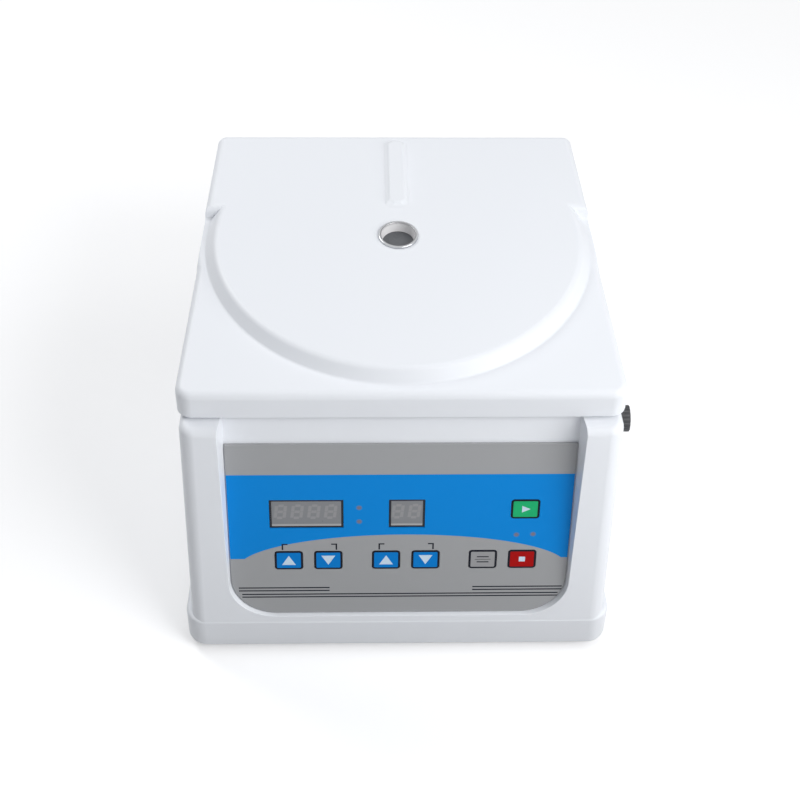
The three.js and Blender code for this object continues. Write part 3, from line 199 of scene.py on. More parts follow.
def closed(bm):
    """Merges what touches and turns every face outwards."""
    bmesh.ops.remove_doubles(bm, verts=bm.verts, dist=MERGE)
    bmesh.ops.dissolve_degenerate(bm, edges=bm.edges, dist=MERGE)
    bmesh.ops.recalc_face_normals(bm, faces=bm.faces)
    return bm


def moved(bm, matrix):
    bmesh.ops.transform(bm, matrix=matrix, verts=bm.verts)
    return bm


def shifted(bm, x=0.0, y=0.0, z=0.0):
    return moved(bm, Matrix.Translation((x, y, z)))


def turned(bm, angle, axis):
    return moved(bm, Matrix.Rotation(angle, 4, axis))


def laid(bm, angle, axis, place):
    """Turned about an axis through the origin, then moved to a place."""
    return shifted(turned(bm, angle, axis), *place)


def joined(*parts):
    """One bmesh that holds several parts."""
    whole = bmesh.new()
    for part in parts:
        mesh = bpy.data.meshes.new("joined")
        part.to_mesh(mesh)
        part.free()
        whole.from_mesh(mesh)
        bpy.data.meshes.remove(mesh)
    return whole


def box_between(low, high):
    bm = bmesh.new()
    bmesh.ops.create_cube(bm, size=1)
    size = [b - a for a, b in zip(low, high)]
    middle = [(a + b) / 2 for a, b in zip(low, high)]
    return moved(bm, Matrix.Translation(middle) @ Matrix.Diagonal((*size, 1)))


def block_about(middle, half, back, front):
    """A box of a half width and half height about a middle, from one depth to another."""
    return box_between(
        (middle.x - half[0], back, middle.z - half[1]),
        (middle.x + half[0], front, middle.z + half[1]),
    )


def rod(radius, length, steps=SMALL_STEPS):
    """A rod along Z that starts at the origin."""
    return spun([(0, 0), (radius, 0), (radius, length), (0, length)], steps)


def extruded(points, height):
    """An outline in X and Y pushed up along Z."""
    bm = bmesh.new()
    face = bm.faces.new([bm.verts.new((x, y, 0)) for x, y in points])
    raised = bmesh.ops.extrude_face_region(bm, geom=[face])
    verts = [item for item in raised["geom"] if isinstance(item, bmesh.types.BMVert)]
    bmesh.ops.translate(bm, verts=verts, vec=(0, 0, height))
    return closed(bm)


def bevel(bm, edges, width, steps=EDGE_STEPS):
    bmesh.ops.bevel(
        bm, geom=list(edges), offset=width, offset_type="OFFSET", segments=steps,
        profile=0.5, affect="EDGES", material=-1, clamp_overlap=True,
    )
    return bm


def uprights(bm, where=lambda middle: True):
    """The edges that run mostly along Z, where their middle passes a test."""
    for edge in bm.edges:
        first, second = edge.verts
        if abs((first.co - second.co).normalized().z) > math.cos(SHARP):
            if where((first.co + second.co) / 2):
                yield edge


def level_edges(bm, z):
    """The edges that lie at a height."""
    return [e for e in bm.edges if all(abs(v.co.z - z) < FLAT for v in e.verts)]


def sharp_edges(bm, where=lambda middle: True, least=SHARP):
    """The edges whose two faces meet at more than an angle, where their middle passes a test."""
    for edge in bm.edges:
        if len(edge.link_faces) == 2 and edge.calc_face_angle() > least:
            if where((edge.verts[0].co + edge.verts[1].co) / 2):
                yield edge


def softened(bm, width):
    """Rounds every sharp edge a little, so that it catches the light."""
    return bevel(bm, sharp_edges(bm), width, 2)


def tapered(foot, head, front_corner, rear_corner, edge, foot_edge=0.0):
    """A block from one Plan up to another, with rounded uprights and a rounded upper edge."""
    middle = (foot.front + foot.rear) / 2
    bm = bmesh.new()
    corners = [
        (-foot.half_front, foot.front), (foot.half_front, foot.front),
        (foot.half_rear, foot.rear), (-foot.half_rear, foot.rear),
    ]
    face = bm.faces.new([bm.verts.new((x, y, foot.z)) for x, y in corners])
    raised = bmesh.ops.extrude_face_region(bm, geom=[face])
    for vert in raised["geom"]:
        if isinstance(vert, bmesh.types.BMVert):
            is_front = vert.co.y < middle
            half = head.half_front if is_front else head.half_rear
            y = head.front if is_front else head.rear
            vert.co = (math.copysign(half, vert.co.x), y, head.z)
    closed(bm)
    bevel(bm, uprights(bm, lambda place: place.y < middle), front_corner, CORNER_STEPS)
    bevel(bm, uprights(bm, lambda place: place.y > middle + front_corner), rear_corner, CORNER_STEPS)
    if edge:
        bevel(bm, level_edges(bm, head.z), edge)
    if foot_edge:
        bevel(bm, level_edges(bm, foot.z), foot_edge, 3)
    return closed(bm)


def rounded_block(width, depth, height, corner, edge=0.0):
    """A tapered block without taper, centred on X and Y, standing on Z = 0."""
    foot = Plan(width / 2, width / 2, -depth / 2, depth / 2, 0)
    return tapered(foot, foot._replace(z=height), corner, corner, edge)


def boolean(bm, tools, operation):
    """Cuts, joins or intersects with Blender's exact solver, and gives a new bmesh."""
    made = []

    def stand_in(part):
        mesh = bpy.data.meshes.new("stand_in")
        part.to_mesh(mesh)
        part.free()
        stand = bpy.data.objects.new("stand_in", mesh)
        bpy.context.scene.collection.objects.link(stand)
        made.append(stand)
        return stand

    body = stand_in(bm)
    for tool in tools:
        modifier = body.modifiers.new("cut", "BOOLEAN")
        modifier.operation = operation
        modifier.solver = "EXACT"
        modifier.object = stand_in(tool)
    depsgraph = bpy.context.evaluated_depsgraph_get()
    evaluated = body.evaluated_get(depsgraph)
    result = bmesh.new()
    result.from_mesh(evaluated.to_mesh())
    evaluated.to_mesh_clear()
    for stand in made:
        mesh = stand.data
        bpy.data.objects.remove(stand)
        bpy.data.meshes.remove(mesh)
    if not result.faces:
        raise RuntimeError("a boolean left nothing")
    return result


def carved(bm, *tools):
    return boolean(bm, tools, "DIFFERENCE")


def fused(bm, *tools):
    return boolean(bm, tools, "UNION")


def common(bm, *tools):
    return boolean(bm, tools, "INTERSECT")


def piece(name, bm, finish, node, replaces=None):
    """Makes a finished object that stands for a node, and for any others named, on its body."""
    mesh = bpy.data.meshes.new(name)
    bm.to_mesh(mesh)
    bm.free()
    mesh.materials.append(finish)
    mesh.shade_smooth()
    mesh.set_sharp_from_angle(angle=SHARP)
    made = bpy.data.objects.new(name, mesh)
    bpy.context.scene.collection.objects.link(made)
    weighted = made.modifiers.new("even_shading", "WEIGHTED_NORMAL")
    weighted.keep_sharp = True
    for replaced in (node,) if replaces is None else replaces:
        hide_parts(replaced)
    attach(made, frame["nodes"][node]["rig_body"])
    slot_class(node)
    return made


def panel_matrix():
    """Takes panel places (right, up the slope, out) into the frame."""
    return Matrix.Translation(PANEL_ORIGIN) @ Matrix.Rotation(math.pi / 2 - RAKE, 4, "X")


def panel_spot(node):
    """How far a node's middle lies right of the panel's middle and down from its upper edge."""
    place = panel_matrix().inverted() @ ends(node)[2]
    return place.x, -place.y


# Materials


class Field:
    """A number in a shader, whose arithmetic adds Math nodes."""

    def __init__(self, finish, socket):
        self.finish = finish
        self.socket = socket

    def _math(self, operation, *values):
        values = [v.socket if isinstance(v, Field) else v for v in values]
        node = self.finish.node("ShaderNodeMath", {"operation": operation}, dict(enumerate(values)))
        return Field(self.finish, node.outputs[0])

    def __add__(self, other):
        return self._math("ADD", self, other)

    __radd__ = __add__

    def __sub__(self, other):
        return self._math("SUBTRACT", self, other)

    def __rsub__(self, other):
        return self._math("SUBTRACT", other, self)

    def __mul__(self, other):
        return self._math("MULTIPLY", self, other)

    __rmul__ = __mul__

    def __truediv__(self, other):
        return self._math("DIVIDE", self, other)

    def __neg__(self):
        return self * -1.0

    def __abs__(self):
        return self._math("ABSOLUTE", self)

    def __mod__(self, other):
        return self._math("FLOORED_MODULO", self, other)

    def sine(self):
        return self._math("SINE", self)

    def root(self):
        return self._math("SQRT", self)

    def lower(self, other):
        return self._math("MINIMUM", self, other)

    def higher(self, other):
        return self._math("MAXIMUM", self, other)

    def inside(self, blur=0.08 * MM):
        """1 where the field is below zero and 0 above, with a soft step of a width."""
        return (0.5 - self / blur).lower(1.0).higher(0.0)


class Nodes:
    """A node tree that is built up from empty."""

    def __init__(self, tree):
        self.tree = tree
        self.tree.nodes.clear()

    def node(self, kind, settings=None, inputs=None):
        """Adds a node: its settings first, then the values or links of its sockets."""
        made = self.tree.nodes.new(kind)
        for key, value in (settings or {}).items():
            setattr(made, key, value)
        for key, value in (inputs or {}).items():
            self._feed(made.inputs[key], value)
        return made

    def _feed(self, socket, value):
        if isinstance(value, Field):
            value = value.socket
        if isinstance(value, bpy.types.NodeSocket):
            self.tree.links.new(value, socket)
        else:
            socket.default_value = value

    def seen(self):
        """1 for the rays of the camera, of mirrors and of glass, and 0 for bounced light."""
        path = self.node("ShaderNodeLightPath")
        rays = Field(self, path.outputs["Is Camera Ray"])
        rays = rays.higher(path.outputs["Is Glossy Ray"])
        return rays.higher(path.outputs["Is Transmission Ray"])

    def glow(self, strength, kind="ShaderNodeEmission", color=(1, 1, 1)):
        node = self.node(kind, inputs={"Color": (*color, 1), "Strength": strength})
        return node.outputs[0]

    def either(self, share, first, second):
        """The first shader where a share is 0, and the second where it is 1."""
        node = self.node("ShaderNodeMixShader", inputs={0: share, 1: first, 2: second})
        return node.outputs[0]


class Finish(Nodes):
    """A material with one Principled shader, and what its patterns are made of."""

    def __init__(self, name, color, roughness, metallic=0.0, specular=0.5):
        self.material = bpy.data.materials.new(name)
        self.material.use_nodes = True
        super().__init__(self.material.node_tree)
        self.shader = self.node("ShaderNodeBsdfPrincipled")
        self.output = self.node("ShaderNodeOutputMaterial")
        self.surface(self.shader.outputs[0])
        self.set("Base Color", (*color[:3], 1))
        self.set("Roughness", roughness)
        self.set("Metallic", metallic)
        self.set("Specular IOR Level", specular)

    def set(self, socket, value):
        self._feed(self.shader.inputs[socket], value)

    def surface(self, socket):
        self._feed(self.output.inputs["Surface"], socket)

    def place(self):
        """Object coordinates, as three fields."""
        coordinates = self.node("ShaderNodeTexCoord")
        split = self.node("ShaderNodeSeparateXYZ", inputs={0: coordinates.outputs["Object"]})
        return tuple(Field(self, split.outputs[i]) for i in range(3))

    def noise(self, scale, detail=2.0, stretch=(1, 1, 1)):
        coordinates = self.node("ShaderNodeTexCoord")
        mapping = self.node(
            "ShaderNodeMapping", inputs={"Vector": coordinates.outputs["Object"], "Scale": stretch}
        )
        made = self.node(
            "ShaderNodeTexNoise",
            inputs={"Vector": mapping.outputs[0], "Scale": scale, "Detail": detail},
        )
        return Field(self, made.outputs[0])

    def mixed(self, share, first, second):
        """A colour between two, each a colour or a socket."""
        colors = [c if isinstance(c, bpy.types.NodeSocket) else (*c[:3], 1) for c in (first, second)]
        node = self.node(
            "ShaderNodeMix", {"data_type": "RGBA"}, {"Factor": share, 6: colors[0], 7: colors[1]}
        )
        return node.outputs[2]

    def bump(self, height, distance):
        node = self.node("ShaderNodeBump", inputs={"Distance": distance, "Height": height})
        self.set("Normal", node.outputs[0])

    def gloss(self, roughness, amount, scale):
        """Varies the roughness a little with a noise."""
        self.set("Roughness", roughness + (self.noise(scale) - 0.5) * amount)

    def shade(self, color, amount, scale):
        """Varies a colour a little with a broad noise, lighter and darker."""
        cloud = self.noise(scale)
        darker = tuple(c * (1 - amount) for c in color)
        lighter = tuple(min(1.0, c * (1 + amount)) for c in color)
        self.set("Base Color", self.mixed(cloud, darker, lighter))


def grained(name, color, roughness, tone, gloss, skin, metallic=0.0, specular=0.5):
    """A cloudy tone, a cloudy gloss and a fine skin.

    Tone and gloss are pairs of an amount and a noise's scale; skin is a depth, a scale and,
    where it is not the usual one, the noise's detail.
    """
    finish = Finish(name, color, roughness, metallic, specular)
    finish.shade(color, *tone)
    finish.gloss(roughness, *gloss)
    depth, *noise = skin
    finish.bump(finish.noise(*noise), depth)
    return finish.material


def moulded_plastic(name, color):
    """Injection-moulded plastic: faint clouds in its colour and gloss, and a fine skin."""
    return grained(name, color, 0.4, (0.006, 7), (0.04, 25), (0.002 * MM, 2400), specular=0.3)


def textured_plastic(name, color, roughness):
    """Dark plastic with a spark-eroded grain."""
    return grained(name, color, roughness, (0.15, 180), (0.15, 250), (0.03 * MM, 2600))


def black_rubber():
    color = (0.022, 0.022, 0.023)
    return grained("black_rubber", color, 0.72, (0.3, 90), (0.2, 300), (0.04 * MM, 1800, 3))


def polished_metal(name, color, roughness):
    return grained(name, color, roughness, (0.03, 120), (0.08, 400), (0.002 * MM, 1500), metallic=1.0)


def painted_iron(name, color):
    """Thick enamel on rough iron."""
    return grained(name, color, 0.38, (0.2, 60), (0.2, 200), (0.05 * MM, 500, 4))


def turned_metal(name, color, roughness, pitch):
    """Metal turned about the rotor's axis, with fine rings and cloudy gloss."""
    finish = Finish(name, color, roughness, 1.0)
    x, y, z = finish.place()
    y = y - AXIS_Y
    radius = (x * x + y * y).root()
    rings = ((radius + z * 0.7) * (2 * math.pi / pitch)).sine()
    finish.shade(color, 0.05, 40)
    finish.set("Roughness", roughness + rings * 0.03 + (finish.noise(90) - 0.5) * 0.12)
    finish.bump(rings, 0.003 * MM)
    return finish.material


def brushed_metal(name, color, roughness, stretch):
    """Metal with fine parallel scratches, long on the axis where the noise's scale is small."""
    finish = Finish(name, color, roughness, 1.0)
    lines = finish.noise(700, 2, stretch)
    finish.shade(color, 0.06, 30)
    finish.set("Roughness", roughness + (lines - 0.5) * 0.25)
    finish.bump(lines, 0.006 * MM)
    return finish.material


def sight_metal():
    """Bright metal with a dark line of painted shade at its lip, and a pale satin wall down to the glass
    that is not metal: its paleness is a painted reflection of the bright surroundings.
    """
    finish = Finish("bright_ring", (0.5, 0.51, 0.53), 0.2, 1.0)
    x, y, _ = finish.place()
    y = y - AXIS_Y
    radius = (x * x + y * y).root()
    lip, line_half = 0.4 * MM, 0.3 * MM
    # Painted reflection: below the mouth the throat wall is made pale and not metal, standing in for the
    # metal reflecting the bright surroundings.
    wall = (radius - SIGHT_MOUTH).inside(lip)
    # Painted shade: a thin dark line at the lip, where the rim turns down into the throat.
    line = (abs(radius - SIGHT_MOUTH - lip) - line_half).inside(line_half)
    cloud = finish.noise(120)
    bright = finish.mixed(cloud, (0.44, 0.45, 0.47), (0.56, 0.57, 0.59))
    # The bright metal with the painted shade line at its lip.
    metal = finish.mixed(line, bright, (0.25, 0.25, 0.26))
    # The throat wall's pale colour is the painted reflection.
    finish.set("Base Color", finish.mixed(wall, metal, (0.8, 0.79, 0.8)))
    finish.set("Metallic", 1.0 - wall)
    finish.set("Roughness", 0.16 + cloud * 0.1 + wall * 0.3)
    return finish.material


def zinc_sheet():
    """Plated sheet with a faint spangle."""
    finish = Finish("zinc_sheet", (0.42, 0.43, 0.45), 0.42, 0.9)
    coordinates = finish.node("ShaderNodeTexCoord")
    cells = finish.node(
        "ShaderNodeTexVoronoi", inputs={"Vector": coordinates.outputs["Object"], "Scale": 160.0}
    )
    spangle = Field(finish, cells.outputs["Distance"])
    finish.set("Base Color", finish.mixed(spangle, (0.36, 0.37, 0.39), (0.5, 0.51, 0.53)))
    finish.set("Roughness", 0.34 + spangle * 0.2)
    return finish.material


def smoked_glass():
    """Dark polished glass with faint dust."""
    finish = Finish("smoked_glass", (0.13, 0.135, 0.145), 0.25, specular=0.2)
    dust = finish.noise(500, 3)
    finish.set("Base Color", finish.mixed(dust, (0.12, 0.125, 0.135), (0.14, 0.145, 0.155)))
    finish.set("Roughness", 0.22 + dust * 0.08)
    return finish.material


def circuit_board():
    """Solder mask over copper tracks that wander a little."""
    finish = Finish("circuit_board", (0.02, 0.12, 0.05), 0.35)
    pitch, track_half, wander = 2.5 * MM, 0.4 * MM, 4 * MM
    lanes = ((finish.place()[0] + finish.noise(70) * wander) % pitch) - pitch / 2
    track = (abs(lanes) - track_half).inside()
    masked = track * (finish.noise(45) - 0.45).higher(0.0) * 6.0
    finish.set("Base Color", finish.mixed(masked.lower(1.0), (0.012, 0.1, 0.04), (0.05, 0.22, 0.09)))
    finish.bump(track, 0.03 * MM)
    return finish.material


def laminations():
    """A stack of varnished sheets, seen on edge."""
    finish = Finish("laminations", (0.1, 0.09, 0.085), 0.5, 0.4)
    sheet, seam_half, blur = 0.7 * MM, 0.08 * MM, 0.05 * MM
    seam = (abs((finish.place()[0] % sheet) - sheet / 2) - seam_half).inside(blur)
    finish.set("Base Color", finish.mixed(seam, (0.12, 0.11, 0.1), (0.035, 0.03, 0.03)))
    finish.bump(seam * -1.0, 0.05 * MM)
    return finish.material


# Print on the key panel


def film_skin(finish, roughness, scale):
    """The satin skin of printed film."""
    finish.gloss(roughness, 0.1, scale)
    finish.bump(finish.noise(3000), 0.004 * MM)


def panel_place(finish):
    """How far a point lies right of the panel's middle and down from its upper edge."""
    x, y, z = finish.place()
    down = -((y - PANEL_ORIGIN.y) * math.sin(RAKE) + (z - PANEL_ORIGIN.z) * math.cos(RAKE))
    return x, down


def box_field(u, v, middle, half, radius=0.0):
    """Distance outside a rounded rectangle."""
    across = abs(u - middle[0]) - (half[0] - radius)
    along = abs(v - middle[1]) - (half[1] - radius)
    corner_u = across.higher(0.0)
    corner_v = along.higher(0.0)
    corner = (corner_u * corner_u + corner_v * corner_v).root()
    return corner + across.higher(along).lower(0.0) - radius


def segment_field(u, v, places, half):
    """Distance outside a thick line along U or V between two places."""
    (u0, v0), (u1, v1) = places
    middle = ((u0 + u1) / 2, (v0 + v1) / 2)
    reach = (abs(u1 - u0) / 2 + half, abs(v1 - v0) / 2 + half)
    return box_field(u, v, middle, reach)


def nearest(fields):
    """The least of several distances."""
    least = fields[0]
    for field in fields[1:]:
        least = least.lower(field)
    return least


def panel_print(settings):
    """The film's print: a blue field with a bowed lower edge on grey, lamps, brackets and rules."""
    finish = Finish("panel_film", settings.film_color, 0.45, specular=0.12)
    u, v = panel_place(finish)
    field_top = 28.5 * MM
    field_low = 110.5 * MM
    bow_middle = 3 * MM
    bow_half = 128 * MM
    bow_rise = 33 * MM
    bow_top = 86.8 * MM
    reach = (u - bow_middle) / bow_half
    bow = bow_top + bow_rise - (1.0 - reach * reach).higher(0.0).root() * bow_rise
    field_blur, line_blur, lamp_blur = 0.25 * MM, 0.15 * MM, 1.6 * MM
    in_field = (field_top - v).higher(v - bow.lower(field_low)).inside(field_blur)

    thin = 0.6 * MM
    short_rules = [(-125 * MM, -55 * MM), (58.5 * MM, 128 * MM)]
    long_rules = [(-122.6 * MM, 125.3 * MM)]
    rules = {
        140.3 * MM: short_rules, 143.3 * MM: short_rules, 147 * MM: long_rules,
        149.8 * MM: long_rules,
    }
    lines = [
        segment_field(u, v, ((start, height), (end, height)), thin)
        for height, spans in rules.items()
        for start, end in spans
    ]
    bracket_top = 96 * MM
    bracket_low = 101 * MM
    stub = 3.4 * MM
    for left, right in ((-90.4 * MM, -48.8 * MM), (-15.7 * MM, 25.9 * MM)):
        for side, inward in ((left, stub), (right, -stub)):
            corner = (side, bracket_top)
            lines.append(segment_field(u, v, (corner, (side, bracket_low)), thin))
            lines.append(segment_field(u, v, (corner, (side + inward, bracket_top)), thin))
    lamp_radius = 1.9 * MM
    lamp_places = [
        (-31.3 * MM, 60.2 * MM), (-31.2 * MM, 73.7 * MM), (89.9 * MM, 87.5 * MM),
        (102.7 * MM, 87 * MM),
    ]
    lamps = [box_field(u, v, place, (lamp_radius, lamp_radius), lamp_radius) for place in lamp_places]

    color = finish.mixed(in_field, settings.film_color, settings.field_color)
    color = finish.mixed(nearest(lamps).inside(lamp_blur), color, settings.lamp_color)
    color = finish.mixed(nearest(lines).inside(line_blur), color, settings.ink_color)
    finish.set("Base Color", color)
    film_skin(finish, 0.45, 220)
    return finish.material


def key_print(name, middle, color, mark, mark_color, settings):
    """A key's print: its colour inside a dark rim, with a plain mark."""
    finish = Finish(name, color, 0.42, specular=0.1)
    u, v = panel_place(finish)
    u = u - middle[0]
    v = v - middle[1]
    half = (KEY_SIZE[0] / 2, KEY_SIZE[1] / 2)
    rim, blur = 1.5 * MM, 0.2 * MM
    inner = (half[0] - rim, half[1] - rim)
    field = box_field(u, v, (0, 0), inner, KEY_CORNER - rim).inside(blur)
    painted = finish.mixed(mark(u, v).inside(blur), color, mark_color)
    finish.set("Base Color", finish.mixed(field, settings.ink_color, painted))
    film_skin(finish, 0.42, 260)
    return finish.material


ARROW_HALF = 5.4 * MM
ARROW_HEIGHT = 9.2 * MM


def arrow(direction):
    """A triangle that points up the panel with -1 and down it with 1."""

    def mark(u, v):
        along = v * direction + ARROW_HEIGHT / 2
        side = abs(u) - (ARROW_HEIGHT - along) * (ARROW_HALF / ARROW_HEIGHT)
        return side.higher(-along).higher(along - ARROW_HEIGHT)

    return mark


def forward_mark(u, v):
    """A small triangle that points right."""
    size = 3.2 * MM
    along = u + size * 0.8
    return (abs(v) - (size * 2 - along) * 0.5).higher(-along)


def square_mark(u, v):
    half, corner = 2.4 * MM, 0.3 * MM
    return box_field(u, v, (0, 0), (half, half), corner)


def change_mark(u, v):
    """Two short bars with a thin one between them."""
    bar, thin_bar, offset = (4.6 * MM, 0.5 * MM), (6.2 * MM, 0.22 * MM), 2.6 * MM
    upper = box_field(u, v, (0, -offset), bar)
    lower = box_field(u, v, (0, offset), bar)
    return upper.lower(lower).lower(box_field(u, v, (0, 0), thin_bar))


def digit_window(name, middle, width, count, settings):
    """A grey window in a dark frame, with unlit seven-segment digits behind it."""
    finish = Finish(name, settings.window_color, 0.25, specular=0.3)
    u, v = panel_place(finish)
    frame_width, strip_height = 1.8 * MM, 1.8 * MM
    pane_blur, digit_blur, strip_blur = 0.15 * MM, 0.6 * MM, 0.9 * MM
    window_middle = (middle, WINDOW_TOP + WINDOW_HEIGHT / 2)
    pane = (width / 2 - frame_width, WINDOW_HEIGHT / 2 - frame_width)
    open_pane = box_field(u, v, window_middle, pane).inside(pane_blur)

    pitch, height, half_wide, half_bar, gap = 12.75 * MM, 14.2 * MM, 3.4 * MM, 1.25 * MM, 0.15 * MM
    slant = 0.12
    start = middle - 0.6 * MM - pitch * count / 2  # the digits stand a little left of the middle
    digits_v = WINDOW_TOP + WINDOW_HEIGHT * 0.43
    v = v - digits_v
    leaning = u + v * slant - start
    local = (leaning % pitch) - pitch / 2
    half_high = height / 2 - half_bar
    level_bar = (half_wide - half_bar - gap, half_bar)
    upright_bar = (half_bar, half_high / 2 - gap)
    bars = [((0, level), level_bar) for level in (-half_high, 0.0, half_high)]
    for side in (-half_wide, half_wide):
        bars += [((side, level), upright_bar) for level in (-half_high / 2, half_high / 2)]
    strokes = [box_field(local, v, place, half, half_bar * 0.4) for place, half in bars]
    past = abs(leaning - pitch * count / 2) - pitch * count / 2
    unlit = nearest(strokes).higher(past).inside(digit_blur)
    strip_top = WINDOW_TOP + WINDOW_HEIGHT - frame_width - digits_v - strip_height
    strip = (strip_top - v).inside(strip_blur)
    color = finish.mixed(unlit, settings.window_color, settings.digit_color)
    color = finish.mixed(strip, color, settings.window_edge_color)
    finish.set("Base Color", finish.mixed(open_pane, settings.ink_color, color))
    finish.set("Roughness", 0.25 + finish.noise(300) * 0.08)
    return finish.material


# Settings


def color_property(name, description, default):
    return FloatVectorProperty(
        name=name, description=description, default=default, size=3, min=0, max=1, subtype="COLOR"
    )


def power_property(name, description, default):
    return FloatProperty(name=name, description=description, default=default, min=0, unit="POWER")


def length_property(name, description, default):
    return FloatProperty(name=name, description=description, default=default, min=0, unit="LENGTH")


class ShellSettings(bpy.types.PropertyGroup):
    """Sizes and colour of the white mouldings."""

    shell_color: color_property("Shell", "Colour of the white plastic", (0.83, 0.85, 0.89))
    body_corner: length_property("Body corner", "Radius of the body's upright corners", 12 * MM)
    shoulder: length_property("Shoulder", "Radius of the body's upper edge", 6 * MM)
    recess_edge: length_property("Recess edge", "Rounding of the frame round the panel", 3 * MM)
    plateau_edge: length_property("Plateau edge", "Radius of the plateau's upper edge", 7 * MM)
    plateau_foot: length_property("Plateau foot", "Radius of the hollow at its foot", 3 * MM)


class PanelSettings(bpy.types.PropertyGroup):
    """Colours of the key panel."""

    film_color: color_property("Film", "Colour of the film's grey", (0.365, 0.37, 0.38))
    field_color: color_property("Field", "Colour of the film's blue field", (0.0, 0.24, 0.7))
    ink_color: color_property("Ink", "Colour of rims and rules", (0.006, 0.008, 0.016))
    lamp_color: color_property("Lamp", "Colour of the small lamps", (0.2, 0.19, 0.24))
    key_color: color_property("Keys", "Colour of the blue keys", (0.0, 0.2, 0.62))
    mark_color: color_property("Mark", "Colour of the keys' marks", (0.62, 0.75, 0.88))
    window_color: color_property("Window", "Colour of the display windows", (0.226, 0.232, 0.245))
    window_edge_color: color_property("Window edge", "Colour of their lower strip", (0.42, 0.42, 0.42))
    digit_color: color_property("Digit", "Colour of the unlit digits", (0.29, 0.29, 0.3))
    start_color: color_property("Start key", "Colour of the start key", (0.015, 0.44, 0.165))
    stop_color: color_property("Stop key", "Colour of the stop key", (0.4, 0.002, 0.002))
    mode_color: color_property("Mode key", "Colour of the mode key", (0.335, 0.335, 0.345))


class StageSettings(bpy.types.PropertyGroup):
    """Light and floor."""

    floor_color: color_property("Floor", "Colour of the floor in view", (0.86, 0.86, 0.87))
    near_bounce: color_property("Near bounce", "What the floor close by throws back", (0.48, 0.48, 0.48))
    far_bounce: color_property("Far bounce", "What the floor further off throws back", (0.95, 0.95, 0.95))
    near_reach: length_property("Near reach", "Where the darker floor close by ends", 470 * MM)
    open_reach: length_property("Open reach", "Where the floor is half faded to white", 1000 * MM)
    floor_glow: FloatProperty(
        name="Glow", description="What the floor in view shines by itself", default=0.3, min=0
    )
    key_power: power_property("Key light", "Power of the main lamp, right of the front", 9.5)
    side_power: power_property("Side light", "Power of the low lamp on the right", 6.1)
    high_power: power_property("High light", "Power of the high lamp on the right", 3.6)
    rear_power: power_property("Rear light", "Power of the lamp behind, on the left", 8.2)
    sky: FloatProperty(
        name="Sky", description="Strength of the even light from all round", default=0.32, min=0
    )


# Operators: the outer pieces


def plinth_block():
    foot = Plan(
        PLINTH_HALF, PLINTH_HALF - REAR_DRAW_IN, HOUSING_LOW.y, PLINTH_REAR, HOUSING_LOW.z
    )
    return tapered(
        foot, foot._replace(z=PLINTH_TOP), PLINTH_CORNER, PLINTH_CORNER, PLINTH_EDGE, PLINTH_EDGE
    )


def body_block(settings, inset=0.0):
    """The leaning body, or with an inset the room inside it."""
    foot = Plan(
        BODY_HALF_FOOT - inset, BODY_HALF_FOOT - REAR_DRAW_IN - inset, BODY_FRONT_FOOT + inset,
        BODY_REAR - inset, PLINTH_TOP - OVERRUN,
    )
    head = Plan(
        BODY_HALF_TOP - inset, BODY_HALF_TOP - REAR_DRAW_IN - inset, BODY_FRONT_TOP + inset,
        BODY_REAR - inset, DECK_Z - inset,
    )
    corner = settings.body_corner - inset
    return tapered(foot, head, corner, corner, 0.0 if inset else settings.shoulder)


def recess_block(wall=0.0):
    """The U-shaped room in front of the raked wall, drawn out by a wall where it backs the room."""
    draft = math.tan(RECESS_DRAFT)
    grow = wall - wall * draft
    half = PANEL_HALF + RECESS_MARGIN + grow
    low = -PANEL_LENGTH - RECESS_MARGIN - grow
    bm = box_between((-half, low, -wall), (half, RECESS_REACH, RECESS_REACH))
    spread = (RECESS_REACH + wall) * draft
    for vert in bm.verts:
        if vert.co.z > 0:
            vert.co.x += math.copysign(spread, vert.co.x)
            if vert.co.y < 0:
                vert.co.y -= spread
    bevel(bm, uprights(bm, lambda place: place.y < 0), PANEL_CORNER + wall, CORNER_STEPS)
    return moved(closed(bm), panel_matrix())


def vent_slots():
    """Upright slots with round ends in the rear wall."""
    count = 9
    pitch = 9 * MM
    first = -108 * MM
    low, high = 66 * MM, 112 * MM
    width = 4 * MM
    end_radius = 0.4975 * width  # just under half, so that the two corners of an end don't meet
    slots = []
    for i in range(count):
        slot = rounded_block(width, high - low, 3 * WALL, end_radius)
        place = (first + i * pitch, BODY_REAR + WALL, (low + high) / 2)
        slots.append(laid(slot, math.pi / 2, "X", place))
    return joined(*slots)


def rear_hole(node, shell):
    """A cut through the rear wall that the shell of a fitting passes."""
    half = [size + FITTING_MARGIN for size in shell]
    return block_about(ends(node)[2], half, BODY_REAR - 2 * WALL, BODY_REAR + WALL)


